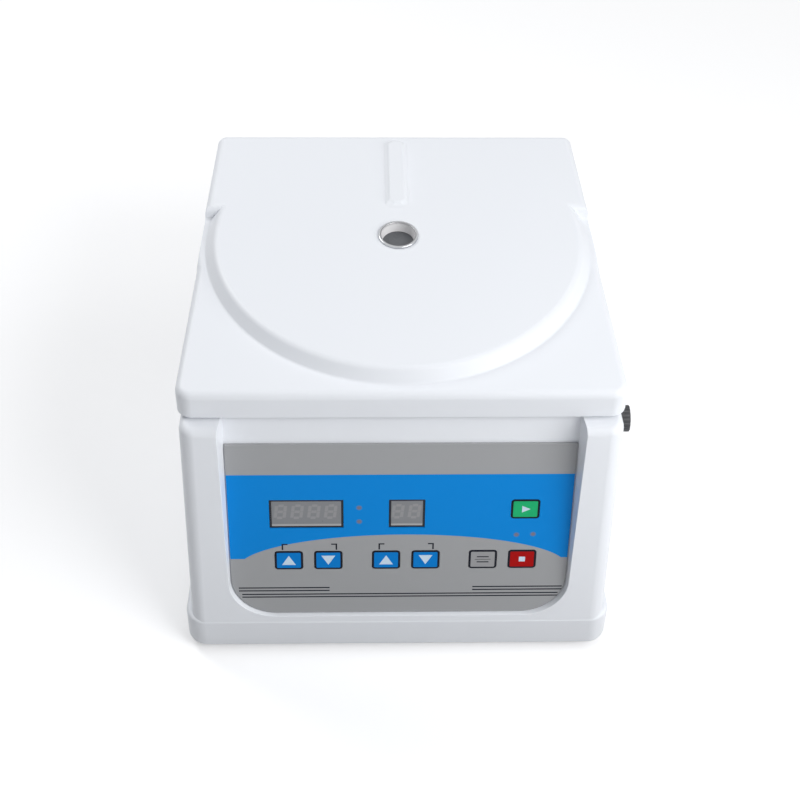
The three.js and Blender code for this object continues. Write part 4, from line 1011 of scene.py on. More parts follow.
class CENTRIFUGE_OT_housing(bpy.types.Operator):
    """Makes the white housing: plinth, leaning body, panel recess and openings"""

    bl_idname = "centrifuge.housing"
    bl_label = "Housing"

    def execute(self, context):
        settings = context.scene.centrifuge_shell
        outside = fused(body_block(settings), plinth_block())
        outside = carved(outside, recess_block())
        self.round_recess(outside, settings.recess_edge)
        whole = carved(
            outside, self.room(settings), self.bowl_hole(), *self.window_holes(),
            *self.bush_holes(), self.fuse_hole(), self.striker_slot(), vent_slots(),
            rear_hole("power_inlet", INLET_SHELL), rear_hole("switch_bezel", SWITCH_SHELL),
        )
        bmesh.ops.remove_doubles(whole, verts=whole.verts, dist=MERGE)
        white = moulded_plastic("white_plastic", settings.shell_color)
        piece("housing_shell", whole, white, "housing")
        return {"FINISHED"}

    def bowl_hole(self):
        hole = rod(BOWL_OPENING, 3 * WALL, ROUND_STEPS)
        return shifted(hole, 0, AXIS_Y, DECK_Z - 2 * WALL)

    def window_holes(self):
        """Where the displays look out through the raked wall."""
        holes = []
        for middle, width, _ in (SPEED_WINDOW, TIME_WINDOW):
            low = (middle - width / 2, -WINDOW_TOP - WINDOW_HEIGHT, -2 * WALL)
            high = (middle + width / 2, -WINDOW_TOP, WALL)
            holes.append(moved(box_between(low, high), panel_matrix()))
        return holes

    def bush_holes(self):
        """The bore that the latch's bush passes, and the seat of its flange."""
        _, high, middle = ends("latch_bush")
        seat_x = high.x - BUSH_FLANGE_THICK - SEAT_GAP
        bore = rod(FITTING_BORE, 4 * WALL)
        seat = rod(BUSH_FLANGE + SEAT_GAP, 4 * WALL)
        return (
            laid(bore, math.pi / 2, "Y", (seat_x - 2 * WALL, middle.y, middle.z)),
            laid(seat, math.pi / 2, "Y", (seat_x, middle.y, middle.z)),
        )

    def fuse_hole(self):
        middle = ends("fuse_holder")[2]
        place = (middle.x, BODY_REAR - 2 * WALL, middle.z)
        return laid(rod(FITTING_BORE, 4 * WALL), -math.pi / 2, "X", place)

    def striker_slot(self):
        """The slot in the deck through which the hook takes the lid's loop."""
        width, depth, corner = 20 * MM, 9 * MM, 2 * MM
        middle = ends("lid_striker")[2]
        slot = rounded_block(width, depth, 3 * WALL, corner)
        return shifted(slot, middle.x, middle.y, DECK_Z - 2 * WALL)

    def room(self, settings):
        """The hollow inside: the body's room behind the raked wall, joined to the plinth's."""
        body_room = carved(body_block(settings, WALL), recess_block(WALL))
        foot = Plan(
            PLINTH_HALF - WALL, PLINTH_HALF - REAR_DRAW_IN - WALL, HOUSING_LOW.y + WALL,
            PLINTH_REAR - WALL, HOUSING_LOW.z - OVERRUN,
        )
        corner = PLINTH_CORNER - WALL
        plinth_room = tapered(foot, foot._replace(z=PLINTH_TOP - WALL), corner, corner, 0.0)
        return fused(plinth_room, body_room)

    def round_recess(self, bm, width):
        """Rounds the frame's edge where the front face meets the recess's side walls."""
        lean = math.atan2(BODY_FRONT_TOP - BODY_FRONT_FOOT, DECK_Z - PLINTH_TOP)
        outward = Vector((0, -math.cos(lean), math.sin(lean)))
        inside = panel_matrix().inverted()
        edges = []
        for edge in bm.edges:
            if len(edge.link_faces) != 2 or edge.calc_face_angle() < SHARP:
                continue
            normals = [face.normal for face in edge.link_faces]
            if max(n.dot(outward) for n in normals) < math.cos(SHARP / 4):
                continue
            middle = inside @ ((edge.verts[0].co + edge.verts[1].co) / 2)
            if abs(middle.x) < PANEL_HALF + 2 * WALL and middle.y > -PANEL_LENGTH - WALL:
                edges.append(edge)
        if not edges:
            raise RuntimeError("the recess has no edge to round")
        bevel(bm, edges, width)


def lid_tray(top, inset=0.0, low=None):
    """The lid's plan up to a height; with an inset, what fits inside it."""
    foot = Plan(
        LID_HALF_FRONT - inset, LID_HALF_REAR - inset, LID_FRONT + inset, LID_REAR - inset,
        LID_LOW.z if low is None else low,
    )
    head = foot._replace(z=top)
    edge = 0.0 if inset else LID_EDGE
    return tapered(foot, head, LID_CORNER_FRONT - inset, LID_CORNER_REAR - inset, edge)


class CENTRIFUGE_OT_lid(bpy.types.Operator):
    """Makes the white lid: tray, round plateau, rear slab and rib"""

    bl_idname = "centrifuge.lid"
    bl_label = "Lid"

    def execute(self, context):
        settings = context.scene.centrifuge_shell
        raised = common(lid_tray(LID_TOP), fused(self.dome(settings), self.slab(settings)))
        cover = fused(lid_tray(LID_LOW_TOP), raised)
        pocket = lid_tray(LID_LOW_TOP - LID_WALL, LID_WALL, LID_LOW.z - OVERRUN)
        depth = LID_TOP - LID_LOW.z + 3 * OVERRUN
        sight_hole = shifted(rod(SIGHT_HOLE, depth, ROUND_STEPS), 0, AXIS_Y, LID_LOW.z)
        cover = carved(fused(cover, self.rib()), pocket, sight_hole)
        bmesh.ops.remove_doubles(cover, verts=cover.verts, dist=MERGE)
        piece("lid_shell", cover, bpy.data.materials["white_plastic"], "lid_cover")
        return {"FINISHED"}

    def rise(self, settings, reach, run):
        """A rounded slope from the lid's low top to its high one, which ends at a reach."""
        dip = 0.02 * MM  # keeps both ends out of the flats that they run into
        slope = math.atan2(LID_TOP - LID_LOW_TOP, run)
        lean = math.degrees(slope)
        head, foot = settings.plateau_edge, settings.plateau_foot
        foot_centre = (reach + run + foot * math.tan(slope / 2), LID_LOW_TOP + foot - dip)
        head_centre = (reach - head * math.tan(slope / 2), LID_TOP - head + dip)
        toe_centre = (foot_centre[0], LID_LOW_TOP - dip - LID_EDGE)
        return [
            *circle_arc(toe_centre, LID_EDGE, 0, 90, EDGE_STEPS),
            *circle_arc(foot_centre, foot, 270, 270 - lean, EDGE_STEPS),
            *circle_arc(head_centre, head, 90 - lean, 90, 2 * EDGE_STEPS),
        ]

    def dome(self, settings):
        """The round plateau with its bevel."""
        low, high = LID_LOW.z + WALL, LID_TOP + OVERRUN
        rise = self.rise(settings, PLATEAU_RADIUS, PLATEAU_RUN)
        profile = [(0, low), (rise[0][0], low), *rise, (rise[-1][0], high), (0, high)]
        return shifted(spun(profile, 2 * ROUND_STEPS), 0, AXIS_Y)

    def slab(self, settings):
        """What raises the whole width behind the plateau."""
        low, high = LID_LOW.z + WALL, LID_TOP + OVERRUN
        rear = LID_REAR + OVERRUN
        rise = self.rise(settings, -AXIS_Y - PLATEAU_BACK, PLATEAU_BACK_RUN)
        rise = [(-reach, height) for reach, height in rise]
        outline = [*rise, (rise[-1][0], high), (rear, high), (rear, low), (rise[0][0], low)]
        bm = extruded(outline, 2 * LID_HALF_FRONT)
        turn = Matrix(((0, 0, 1, 0), (1, 0, 0, 0), (0, 1, 0, 0), (0, 0, 0, 1)))
        return shifted(moved(bm, turn), -LID_HALF_FRONT)

    def rib(self):
        """The raised eight-sided rib behind the sight glass."""
        half, run, height, chamfer = 9.7 * MM, 3.9 * MM, 3.4 * MM, 3.4 * MM
        front, rear = AXIS_Y + 32.5 * MM, AXIS_Y + 116 * MM
        upper_edge, side_edge = 0.7 * MM, 0.5 * MM

        def outline(inset):
            side, start, end = half - inset, front + inset, rear - inset
            return [
                (chamfer - side, start), (side - chamfer, start), (side, start + chamfer),
                (side, end - chamfer), (side - chamfer, end), (chamfer - side, end),
                (-side, end - chamfer), (-side, start + chamfer),
            ]

        bm = bmesh.new()
        low = LID_TOP - MM
        rings = [
            [bm.verts.new((x, y, z)) for x, y in outline(inset)]
            for inset, z in ((0, low), (0, LID_TOP), (run, LID_TOP + height))
        ]
        for lower, upper in zip(rings, rings[1:]):
            for i, vert in enumerate(lower):
                after = (i + 1) % len(lower)
                bm.faces.new((vert, lower[after], upper[after], upper[i]))
        bm.faces.new(reversed(rings[0]))
        bm.faces.new(rings[-1])
        closed(bm)
        bevel(bm, level_edges(bm, LID_TOP + height), upper_edge, 4)
        sides = sharp_edges(bm, lambda place: place.z > LID_TOP, math.radians(12))
        return bevel(bm, sides, side_edge, 3)


class CENTRIFUGE_OT_sight(bpy.types.Operator):
    """Makes the sight glass and its ring"""

    bl_idname = "centrifuge.sight"
    bl_label = "Sight glass"

    def execute(self, context):
        self.ring()
        self.glass()
        return {"FINISHED"}

    def ring(self):
        """A turned ring with a flange on the lid, a rounded lip and a throat down to the glass."""
        flange, throat, tube, seat = 15.6 * MM, 12.4 * MM, 14.9 * MM, 13.7 * MM
        outer_round, lip_round = 0.7 * MM, 0.4 * MM
        low, top = RING_LOW.z, RING_HIGH.z
        face = top - 2 * outer_round
        ledge = ends("sight_glass")[1].z + SEAT_GAP
        profile = [
            (seat, low), (tube, low), (tube, face), (flange, face),
            *circle_arc(
                (flange - outer_round, top - outer_round), outer_round, 0, 90, EDGE_STEPS
            ),
            *circle_arc(
                (SIGHT_MOUTH + lip_round, top - lip_round), lip_round, 90, 170, EDGE_STEPS
            ),
            (throat, ledge), (seat, ledge), (seat, low),
        ]
        ring = shifted(spun(profile), 0, AXIS_Y)
        piece("sight_ring_turned", ring, sight_metal(), "sight_ring")

    def glass(self):
        radius, thick, edge = SIGHT_MOUTH, 3 * MM, 0.4 * MM
        top = ends("sight_glass")[1].z
        low = top - thick
        glass = spun([
            (0, low), (radius - edge, low), (radius, low + edge), (radius, top - edge),
            (radius - edge, top), (0, top),
        ])
        piece("sight_glass_disc", shifted(glass, 0, AXIS_Y), smoked_glass(), "sight_glass")


class CENTRIFUGE_OT_panel(bpy.types.Operator):
    """Makes the printed film, its keys and the display windows"""

    bl_idname = "centrifuge.panel"
    bl_label = "Key panel"

    def execute(self, context):
        settings = context.scene.centrifuge_panel
        blue = settings.key_color
        keys = {
            "key_speed_up": (blue, arrow(-1)),
            "key_speed_down": (blue, arrow(1)),
            "key_time_up": (blue, arrow(-1)),
            "key_time_down": (blue, arrow(1)),
            "key_mode": (settings.mode_color, change_mark),
            "key_stop": (settings.stop_color, square_mark),
            "key_start": (settings.start_color, forward_mark),
        }
        self.film(settings, keys)
        height, edge = 1.2 * MM, 0.35 * MM
        for name, (color, mark) in keys.items():
            u, v = panel_spot(name)
            mark_color = settings.ink_color if name == "key_mode" else settings.mark_color
            finish = key_print(name + "_print", (u, v), color, mark, mark_color, settings)
            cap = rounded_block(*KEY_SIZE, height, KEY_CORNER, edge)
            shifted(cap, u, -v, SEAT_GAP + PANEL_THICKNESS - MM)
            piece(name + "_cap", moved(cap, panel_matrix()), finish, name)
        for name, window in (("speed_display", SPEED_WINDOW), ("time_display", TIME_WINDOW)):
            middle, width, count = window
            finish = digit_window(name + "_print", middle, width, count, settings)
            frame["nodes"][name].data.materials.clear()
            frame["nodes"][name].data.materials.append(finish)
        return {"FINISHED"}

    def film(self, settings, keys):
        """The thick film, with holes for the windows and the keys."""
        low = -PANEL_LENGTH
        edge, window_corner = 0.25 * MM, 0.5 * MM
        bm = box_between((-PANEL_HALF, low, 0), (PANEL_HALF, 0, PANEL_THICKNESS))
        lower = uprights(bm, lambda place: place.y < low / 2)
        bevel(bm, lower, PANEL_CORNER, 2 * CORNER_STEPS)
        bevel(bm, level_edges(bm, PANEL_THICKNESS), edge, 2)
        closed(bm)
        holes = []
        for middle, width, _ in (SPEED_WINDOW, TIME_WINDOW):
            hole = rounded_block(width, WINDOW_HEIGHT, 3 * PANEL_THICKNESS, window_corner)
            holes.append(shifted(hole, middle, -WINDOW_TOP - WINDOW_HEIGHT / 2, -PANEL_THICKNESS))
        for name in keys:
            u, v = panel_spot(name)
            width, height = (size + 2 * SEAT_GAP for size in KEY_SIZE)
            hole = rounded_block(width, height, 3 * PANEL_THICKNESS, KEY_CORNER + SEAT_GAP)
            holes.append(shifted(hole, u, -v, -PANEL_THICKNESS))
        bm = carved(bm, joined(*holes))
        shifted(bm, 0, 0, SEAT_GAP)
        piece("panel_film", moved(bm, panel_matrix()), panel_print(settings), "panel_overlay")


def fluted(radius, flutes, depth, power, steps):
    """A round outline with flutes, and a number of steps to each."""
    points = []
    for i in range(flutes * steps):
        angle = 2 * math.pi * i / (flutes * steps)
        reach = radius - depth * max(0.0, math.cos(flutes * angle)) ** power
        points.append((reach * math.cos(angle), reach * math.sin(angle)))
    return points


class CENTRIFUGE_OT_latch(bpy.types.Operator):
    """Makes the side knob and its bush"""

    bl_idname = "centrifuge.latch"
    bl_label = "Latch"

    def execute(self, context):
        dark = textured_plastic("dark_plastic", (0.035, 0.036, 0.04), 0.42)
        self.knob(dark)
        self.bush(dark)
        return {"FINISHED"}

    def knob(self, dark):
        """A fluted knob with a pointer groove in its face."""
        radius, flute_depth, edge, groove_depth = 10 * MM, 0.5 * MM, 0.7 * MM, 0.8 * MM
        low, high, middle = ends("latch_knob")
        depth = high.x - low.x
        knob = extruded(fluted(radius, 14, flute_depth, 2, 8), depth)
        bevel(knob, level_edges(knob, depth), edge, 3)
        groove = box_between((-MM, 0, depth - groove_depth), (MM, radius * 1.2, depth + MM))
        knob = carved(closed(knob), groove)
        matrix = Matrix.Rotation(-math.pi / 2, 4, "X") @ Matrix.Rotation(math.pi / 2, 4, "Y")
        moved(knob, Matrix.Translation((low.x, middle.y, middle.z)) @ matrix)
        piece("latch_knob_fluted", knob, dark, "latch_knob")

    def bush(self, dark):
        low, high, _ = ends("latch_bush")
        knob_middle = ends("latch_knob")[2]
        reach = high.x - low.x
        bore, barrel, edge = 3.3 * MM, 6 * MM, 0.5 * MM
        shoulder = reach - BUSH_FLANGE_THICK
        bush = spun([
            (bore, 0), (barrel, 0), (barrel, shoulder), (BUSH_FLANGE, shoulder),
            *circle_arc((BUSH_FLANGE - edge, reach - edge), edge, 0, 90, 3),
            (bore, reach), (bore, 0),
        ], SMALL_STEPS)
        laid(bush, math.pi / 2, "Y", (low.x, knob_middle.y, knob_middle.z))
        piece("latch_bush_turned", bush, dark, "latch_bush")


class CENTRIFUGE_OT_feet(bpy.types.Operator):
    """Makes the rubber feet and the lid's rests"""

    bl_idname = "centrifuge.feet"
    bl_label = "Feet and rests"

    def execute(self, context):
        rubber = black_rubber()
        for end in ("front", "rear"):
            for side in ("left", "right"):
                self.foot("foot_%s_%s" % (end, side), rubber)
        for side in ("left", "right"):
            self.bumper("lid_bumper_" + side, rubber)
        return {"FINISHED"}

    def foot(self, node, rubber):
        """A foot with a hollow under it and a rounded rim."""
        wide, narrow, hollow, rim = 13 * MM, 11 * MM, 4 * MM, 2 * MM
        edge = 0.6 * MM
        _, high, middle = ends(node)
        foot = spun([
            (0, rim), (hollow, rim), (hollow + edge, 0), (narrow - edge, 0), (narrow, edge),
            (wide, rim), (narrow, high.z), (0, high.z),
        ], SMALL_STEPS)
        piece(node + "_moulded", shifted(foot, middle.x, middle.y), rubber, node)

    def bumper(self, node, rubber):
        radius, edge = 4 * MM, 0.5 * MM
        low, high, middle = ends(node)
        pad = spun([
            (0, low.z), (radius, low.z), (radius, high.z - edge), (radius - edge, high.z),
            (0, high.z),
        ], SMALL_STEPS)
        piece(node + "_moulded", shifted(pad, middle.x, middle.y), rubber, node)


# Operators: the chamber and the rotor


class CENTRIFUGE_OT_chamber(bpy.types.Operator):
    """Makes the chamber's bowl and the boot round the motor's neck"""

    bl_idname = "centrifuge.chamber"
    bl_label = "Chamber"

    def execute(self, context):
        self.bowl()
        self.boot()
        return {"FINISHED"}

    def bowl(self):
        """A drawn steel bowl whose rim lies on the deck."""
        radius, corner, rim, hole, edge = 106 * MM, 18 * MM, 116 * MM, 24 * MM, 0.8 * MM
        sheet = BOWL_SHEET
        floor, top = BOWL_LOW.z + sheet, BOWL_HIGH.z
        centre = (radius - corner, floor + corner)
        profile = [
            (hole, floor - sheet),
            *circle_arc(centre, corner + sheet, -90, 0, 2 * EDGE_STEPS),
            (radius + sheet, top - sheet), (rim, top - sheet),
            *circle_arc((rim - edge, top - edge), edge, 0, 90, 3),
            *circle_arc((radius + sheet, top - sheet), sheet, 90, 180, EDGE_STEPS),
            *circle_arc(centre, corner, 0, -90, 2 * EDGE_STEPS),
            (hole, floor), (hole, floor - sheet),
        ]
        ring_pitch = 1.1 * MM
        steel = turned_metal("drawn_steel", (0.72, 0.73, 0.75), 0.32, ring_pitch)
        piece("chamber_bowl_drawn", shifted(spun(profile), 0, AXIS_Y), steel, "chamber_bowl")

    def boot(self):
        """A rubber sleeve under the bowl's hole, with a soft lip on its floor."""
        low, high, _ = ends("shaft_boot")
        inner, waist, thick = 10 * MM, 23.7 * MM, 2.4 * MM
        lip = (high.x - low.x) / 2
        lip_low = BOWL_LOW.z + BOWL_SHEET + SEAT_GAP
        boot = spun([
            (inner, low.z), (waist, low.z), (waist, lip_low), (lip, lip_low),
            *circle_arc((waist, lip_low), thick, 20, 90, EDGE_STEPS), (inner, high.z),
            (inner, low.z),
        ])
        rubber = bpy.data.materials["black_rubber"]
        piece("shaft_boot_moulded", shifted(boot, 0, AXIS_Y), rubber, "shaft_boot")


class CENTRIFUGE_OT_rotor(bpy.types.Operator):
    """Makes the angle rotor, its nut and the tube sleeves"""

    bl_idname = "centrifuge.rotor"
    bl_label = "Rotor"

    tilt = math.radians(35)
    count = 8
    mouth_radius = 38 * MM
    bore = 10.2 * MM
    web = 4 * MM
    length = 78 * MM

    def execute(self, context):
        self.mouth_z = (
            ROTOR_LOW.z + self.web + self.length * math.cos(self.tilt)
            + self.bore * math.sin(self.tilt)
        )
        cut_pitch, edge = 0.9 * MM, 0.35 * MM
        metal = turned_metal("anodised_aluminium", (0.66, 0.67, 0.69), 0.36, cut_pitch)
        bores = [self.at_sleeve(self.bore_tool(), i) for i in range(self.count)]
        body = carved(self.body(), *bores)
        softened(body, edge)
        piece("angle_rotor_turned", shifted(body, 0, AXIS_Y), metal, "angle_rotor")
        steel = brushed_metal("sleeve_steel", (0.6, 0.61, 0.63), 0.25, (1, 1, 0.05))
        for i in range(self.count):
            node = "tube_sleeve_%d" % (i + 1)
            sleeve = shifted(self.at_sleeve(self.sleeve(), i), 0, AXIS_Y)
            piece(node + "_drawn", sleeve, steel, node)
        self.nut()
        return {"FINISHED"}

    def at_sleeve(self, bm, number):
        """Puts what is drawn about Z, with a mouth at Z = 0, at a sleeve's place."""
        turn = 2 * math.pi * number / self.count
        place = Matrix.Translation((self.mouth_radius, 0, self.mouth_z))
        tilted = place @ Matrix.Rotation(-self.tilt, 4, "Y")
        return moved(bm, Matrix.Rotation(turn, 4, "Z") @ tilted)

    def mouth(self, along):
        return (
            self.mouth_radius + along * math.cos(self.tilt),
            self.mouth_z + along * math.sin(self.tilt),
        )

    def hub_top(self):
        return self.mouth(-self.bore - self.web)[1] - self.web / 2

    def body(self):
        """The rotor's section, turned about the shaft."""
        outer = self.mouth(self.bore + self.web)
        inner = self.mouth(-self.bore - self.web)
        shaft, hub, hub_head = 6.3 * MM, 14 * MM, 22 * MM
        hub_thick, hub_length, wide = 10 * MM, 36 * MM, 95 * MM
        chamfer, skirt = 4 * MM, ROTOR_LOW.z
        top = self.hub_top()
        web_z = top - hub_thick
        slope = math.tan(self.tilt)
        hollow_top = inner[0] + (inner[1] - web_z) * slope
        hollow_foot = inner[0] + (inner[1] - skirt) * slope
        slope_foot = outer[1] - (wide - outer[0]) / slope
        profile = [
            (shaft, top - hub_length), (hub, top - hub_length), (hub, web_z),
            (hollow_top, web_z), (hollow_foot, skirt), (wide - chamfer, skirt),
            *circle_arc((wide - chamfer, skirt + chamfer), chamfer, -90, 0, EDGE_STEPS),
            (wide, slope_foot), outer, inner, (hub_head, top), (shaft, top),
            (shaft, top - hub_length),
        ]
        return spun(profile, 2 * ROUND_STEPS)

    def bore_tool(self):
        seat = 11.7 * MM
        return spun([
            (0, -self.length - SEAT_GAP), (self.bore, -self.length - SEAT_GAP), (self.bore, 0),
            (seat, 0), (seat, self.web + OVERRUN), (0, self.web + OVERRUN),
        ], SMALL_STEPS)

    def sleeve(self):
        """A drawn steel sleeve with a round bottom and a rolled rim."""
        inner, wall, rim = 8.7 * MM, 1.2 * MM, 11.4 * MM
        outer, bead = inner + wall, wall / 2
        low = -self.length
        round_out = outer / 3
        round_in = round_out - bead
        profile = [
            (0, low),
            *circle_arc((outer - round_out, low + round_out), round_out, -90, 0, EDGE_STEPS),
            (outer, SEAT_GAP), (rim - bead, SEAT_GAP),
            *circle_arc((rim - bead, SEAT_GAP + bead), bead, -90, 90, EDGE_STEPS),
            *circle_arc((inner + bead, SEAT_GAP + bead), bead, 90, 180, 4),
            *circle_arc((inner - round_in, low + wall + round_in), round_in, 0, -90, EDGE_STEPS),
            (0, low + wall),
        ]
        return spun(profile, SMALL_STEPS)

    def nut(self):
        """The fluted nut with a dished top."""
        low, high, _ = ends("rotor_nut")
        radius, flute_depth = 14.8 * MM, 1.5 * MM
        upper_edge, lower_edge, edge = 1.4 * MM, 0.5 * MM, 0.3 * MM
        dish_radius, dish_depth, bore_radius, bore_depth = 7.5 * MM, 1.2 * MM, 6.2 * MM, 13 * MM
        height = high.z - low.z
        nut = extruded(fluted(radius, 8, flute_depth, 3, 12), height)
        bevel(nut, level_edges(nut, height), upper_edge, 4)
        bevel(nut, level_edges(nut, 0), lower_edge, 2)
        dish = shifted(rod(dish_radius, dish_depth + OVERRUN), 0, 0, height - dish_depth)
        bore = shifted(rod(bore_radius, bore_depth + OVERRUN), 0, 0, -OVERRUN)
        nut = carved(closed(nut), dish, bore)
        softened(nut, edge)
        steel = polished_metal("nut_steel", (0.6, 0.61, 0.63), 0.22)
        piece("rotor_nut_turned", shifted(nut, 0, AXIS_Y, low.z), steel, "rotor_nut")


# Operators: under the lid, hinges and the back


class CENTRIFUGE_OT_lid_inside(bpy.types.Operator):
    """Makes the lid's liner and its seal"""

    bl_idname = "centrifuge.lid_inside"
    bl_label = "Lid inside"

    def execute(self, context):
        self.liner()
        self.seal()
        return {"FINISHED"}

    def liner(self):
        """A pressed plate with a dish that rises into the plateau, down to the sight glass."""
        low, high, _ = ends("lid_liner")
        sheet, dish, run, throat = 2 * MM, 98 * MM, 6 * MM, 13.9 * MM
        foot, head, top = low.z, low.z + sheet, high.z
        plate = lid_tray(head, LID_WALL + LINER_GAP, foot)
        opening = rod(dish - sheet / 2, 4 * sheet, ROUND_STEPS)
        bulge = spun([
            (dish, foot), (dish, head), (dish - sheet, head), (dish - sheet - run, top),
            (throat, top), (throat, top - sheet), (dish - run, top - sheet),
            (dish - sheet / 3, foot), (dish, foot),
        ])
        plate = carved(plate, shifted(opening, 0, AXIS_Y, foot - sheet))
        liner = joined(plate, shifted(bulge, 0, AXIS_Y))
        ring_pitch = 1.6 * MM
        metal = turned_metal("liner_aluminium", (0.58, 0.59, 0.61), 0.38, ring_pitch)
        piece("lid_liner_pressed", liner, metal, "lid_liner")

    def seal(self):
        """A rubber ring with a round bead on its lower side."""
        low, high, _ = ends("lid_seal")
        inner, outer, bead, lip = 111 * MM, (high.x - low.x) / 2, 1.4 * MM, 0.75 * MM
        bead_z = low.z + bead
        middle = (inner + outer) / 2 - lip
        seal = spun([
            (inner, high.z), (inner, bead_z),
            *circle_arc((middle, bead_z), bead, 200, 340, EDGE_STEPS),
            (outer - lip, bead_z), (outer, high.z), (inner, high.z),
        ])
        rubber = bpy.data.materials["black_rubber"]
        piece("lid_seal_moulded", shifted(seal, 0, AXIS_Y), rubber, "lid_seal")


class CENTRIFUGE_OT_hinges(bpy.types.Operator):
    """Makes both hinges: their leaves, pins and screws"""

    bl_idname = "centrifuge.hinges"
    bl_label = "Hinges"

    barrel_radius = 4.3 * MM
    bore_radius = 2.1 * MM
    pin_radius = 2 * MM
    sheet = 2 * MM
    tab_reach = MM
    edge = 0.3 * MM
    body_gap = 8.15 * MM
    lid_gap = 7.85 * MM
    body_screws = (6 * MM, 17 * MM)
    lid_screws = (7 * MM, 17 * MM)

    def execute(self, context):
        steel = brushed_metal("hinge_steel", (0.5, 0.51, 0.53), 0.3, (0.05, 1, 1))
        for side in ("left", "right"):
            low, high, self.axis = ends("hinge_pin_" + side)
            self.half = (high.x - low.x) / 2
            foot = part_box("hinge_body_leaf_" + side)[0].z
            head = self.axis.z - self.barrel_radius + self.sheet
            self.leaf(
                "hinge_body_leaf_" + side, steel, (foot, head), head - self.sheet,
                ((-self.half, -self.body_gap), (self.body_gap, self.half)), self.body_screws,
            )
            foot = self.axis.z + self.barrel_radius - self.sheet
            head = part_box("hinge_lid_leaf_" + side)[1].z
            self.leaf(
                "hinge_lid_leaf_" + side, steel, (foot, head), foot,
                ((-self.lid_gap, self.lid_gap),), self.lid_screws,
            )
            pin = turned(rod(self.pin_radius, 2 * self.half, 32), math.pi / 2, "Y")
            softened(pin, self.edge)
            shifted(pin, low.x, self.axis.y, self.axis.z)
            piece("hinge_pin_%s_turned" % side, pin, steel, "hinge_pin_" + side)
        return {"FINISHED"}

    def leaf(self, node, steel, span, tab_z, knuckles, screw_heights):
        """A plate on the back with knuckles round the pin, the tabs that carry them, and screws."""
        foot, head = span
        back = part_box(node)[0].y + self.sheet
        corner, screw_spacing = 2 * MM, 13 * MM
        plate = rounded_block(2 * self.half, head - foot, self.sheet, corner, self.edge)
        parts = [laid(plate, math.pi / 2, "X", (self.axis.x, back, (foot + head) / 2))]
        for start, end in knuckles:
            parts.append(self.knuckle(start, end))
            tab_low = (self.axis.x + start, back - self.tab_reach, tab_z)
            tab_high = (self.axis.x + end, self.axis.y - self.tab_reach, tab_z + self.sheet)
            parts.append(box_between(tab_low, tab_high))
        for height in screw_heights:
            for offset in (-screw_spacing, screw_spacing):
                place = (self.axis.x + offset, back, foot + height)
                parts.append(laid(self.screw(), -math.pi / 2, "X", place))
        piece(node + "_bent", joined(*parts), steel, node)

    def knuckle(self, start, end):
        """A length of barrel, bored for the pin."""
        length = end - start
        ring = spun([
            (self.bore_radius, 0), (self.barrel_radius, 0), (self.barrel_radius, length),
            (self.bore_radius, length), (self.bore_radius, 0),
        ], 32)
        return laid(ring, math.pi / 2, "Y", (self.axis.x + start, self.axis.y, self.axis.z))

    def screw(self):
        """A low cross-head screw."""
        radius, rise, slot = 2.6 * MM, 0.5 * MM, 0.3 * MM
        head = spun([
            (0, 0), (radius, 0), (radius * 0.85, rise * 0.7), (radius * 0.5, rise), (0, rise),
        ], 24)
        low, reach = rise * 0.4, radius * 0.6
        across = box_between((-reach, -slot, low), (reach, slot, 2 * rise))
        along = box_between((-slot, -reach, low), (slot, reach, 2 * rise))
        return carved(head, across, along)


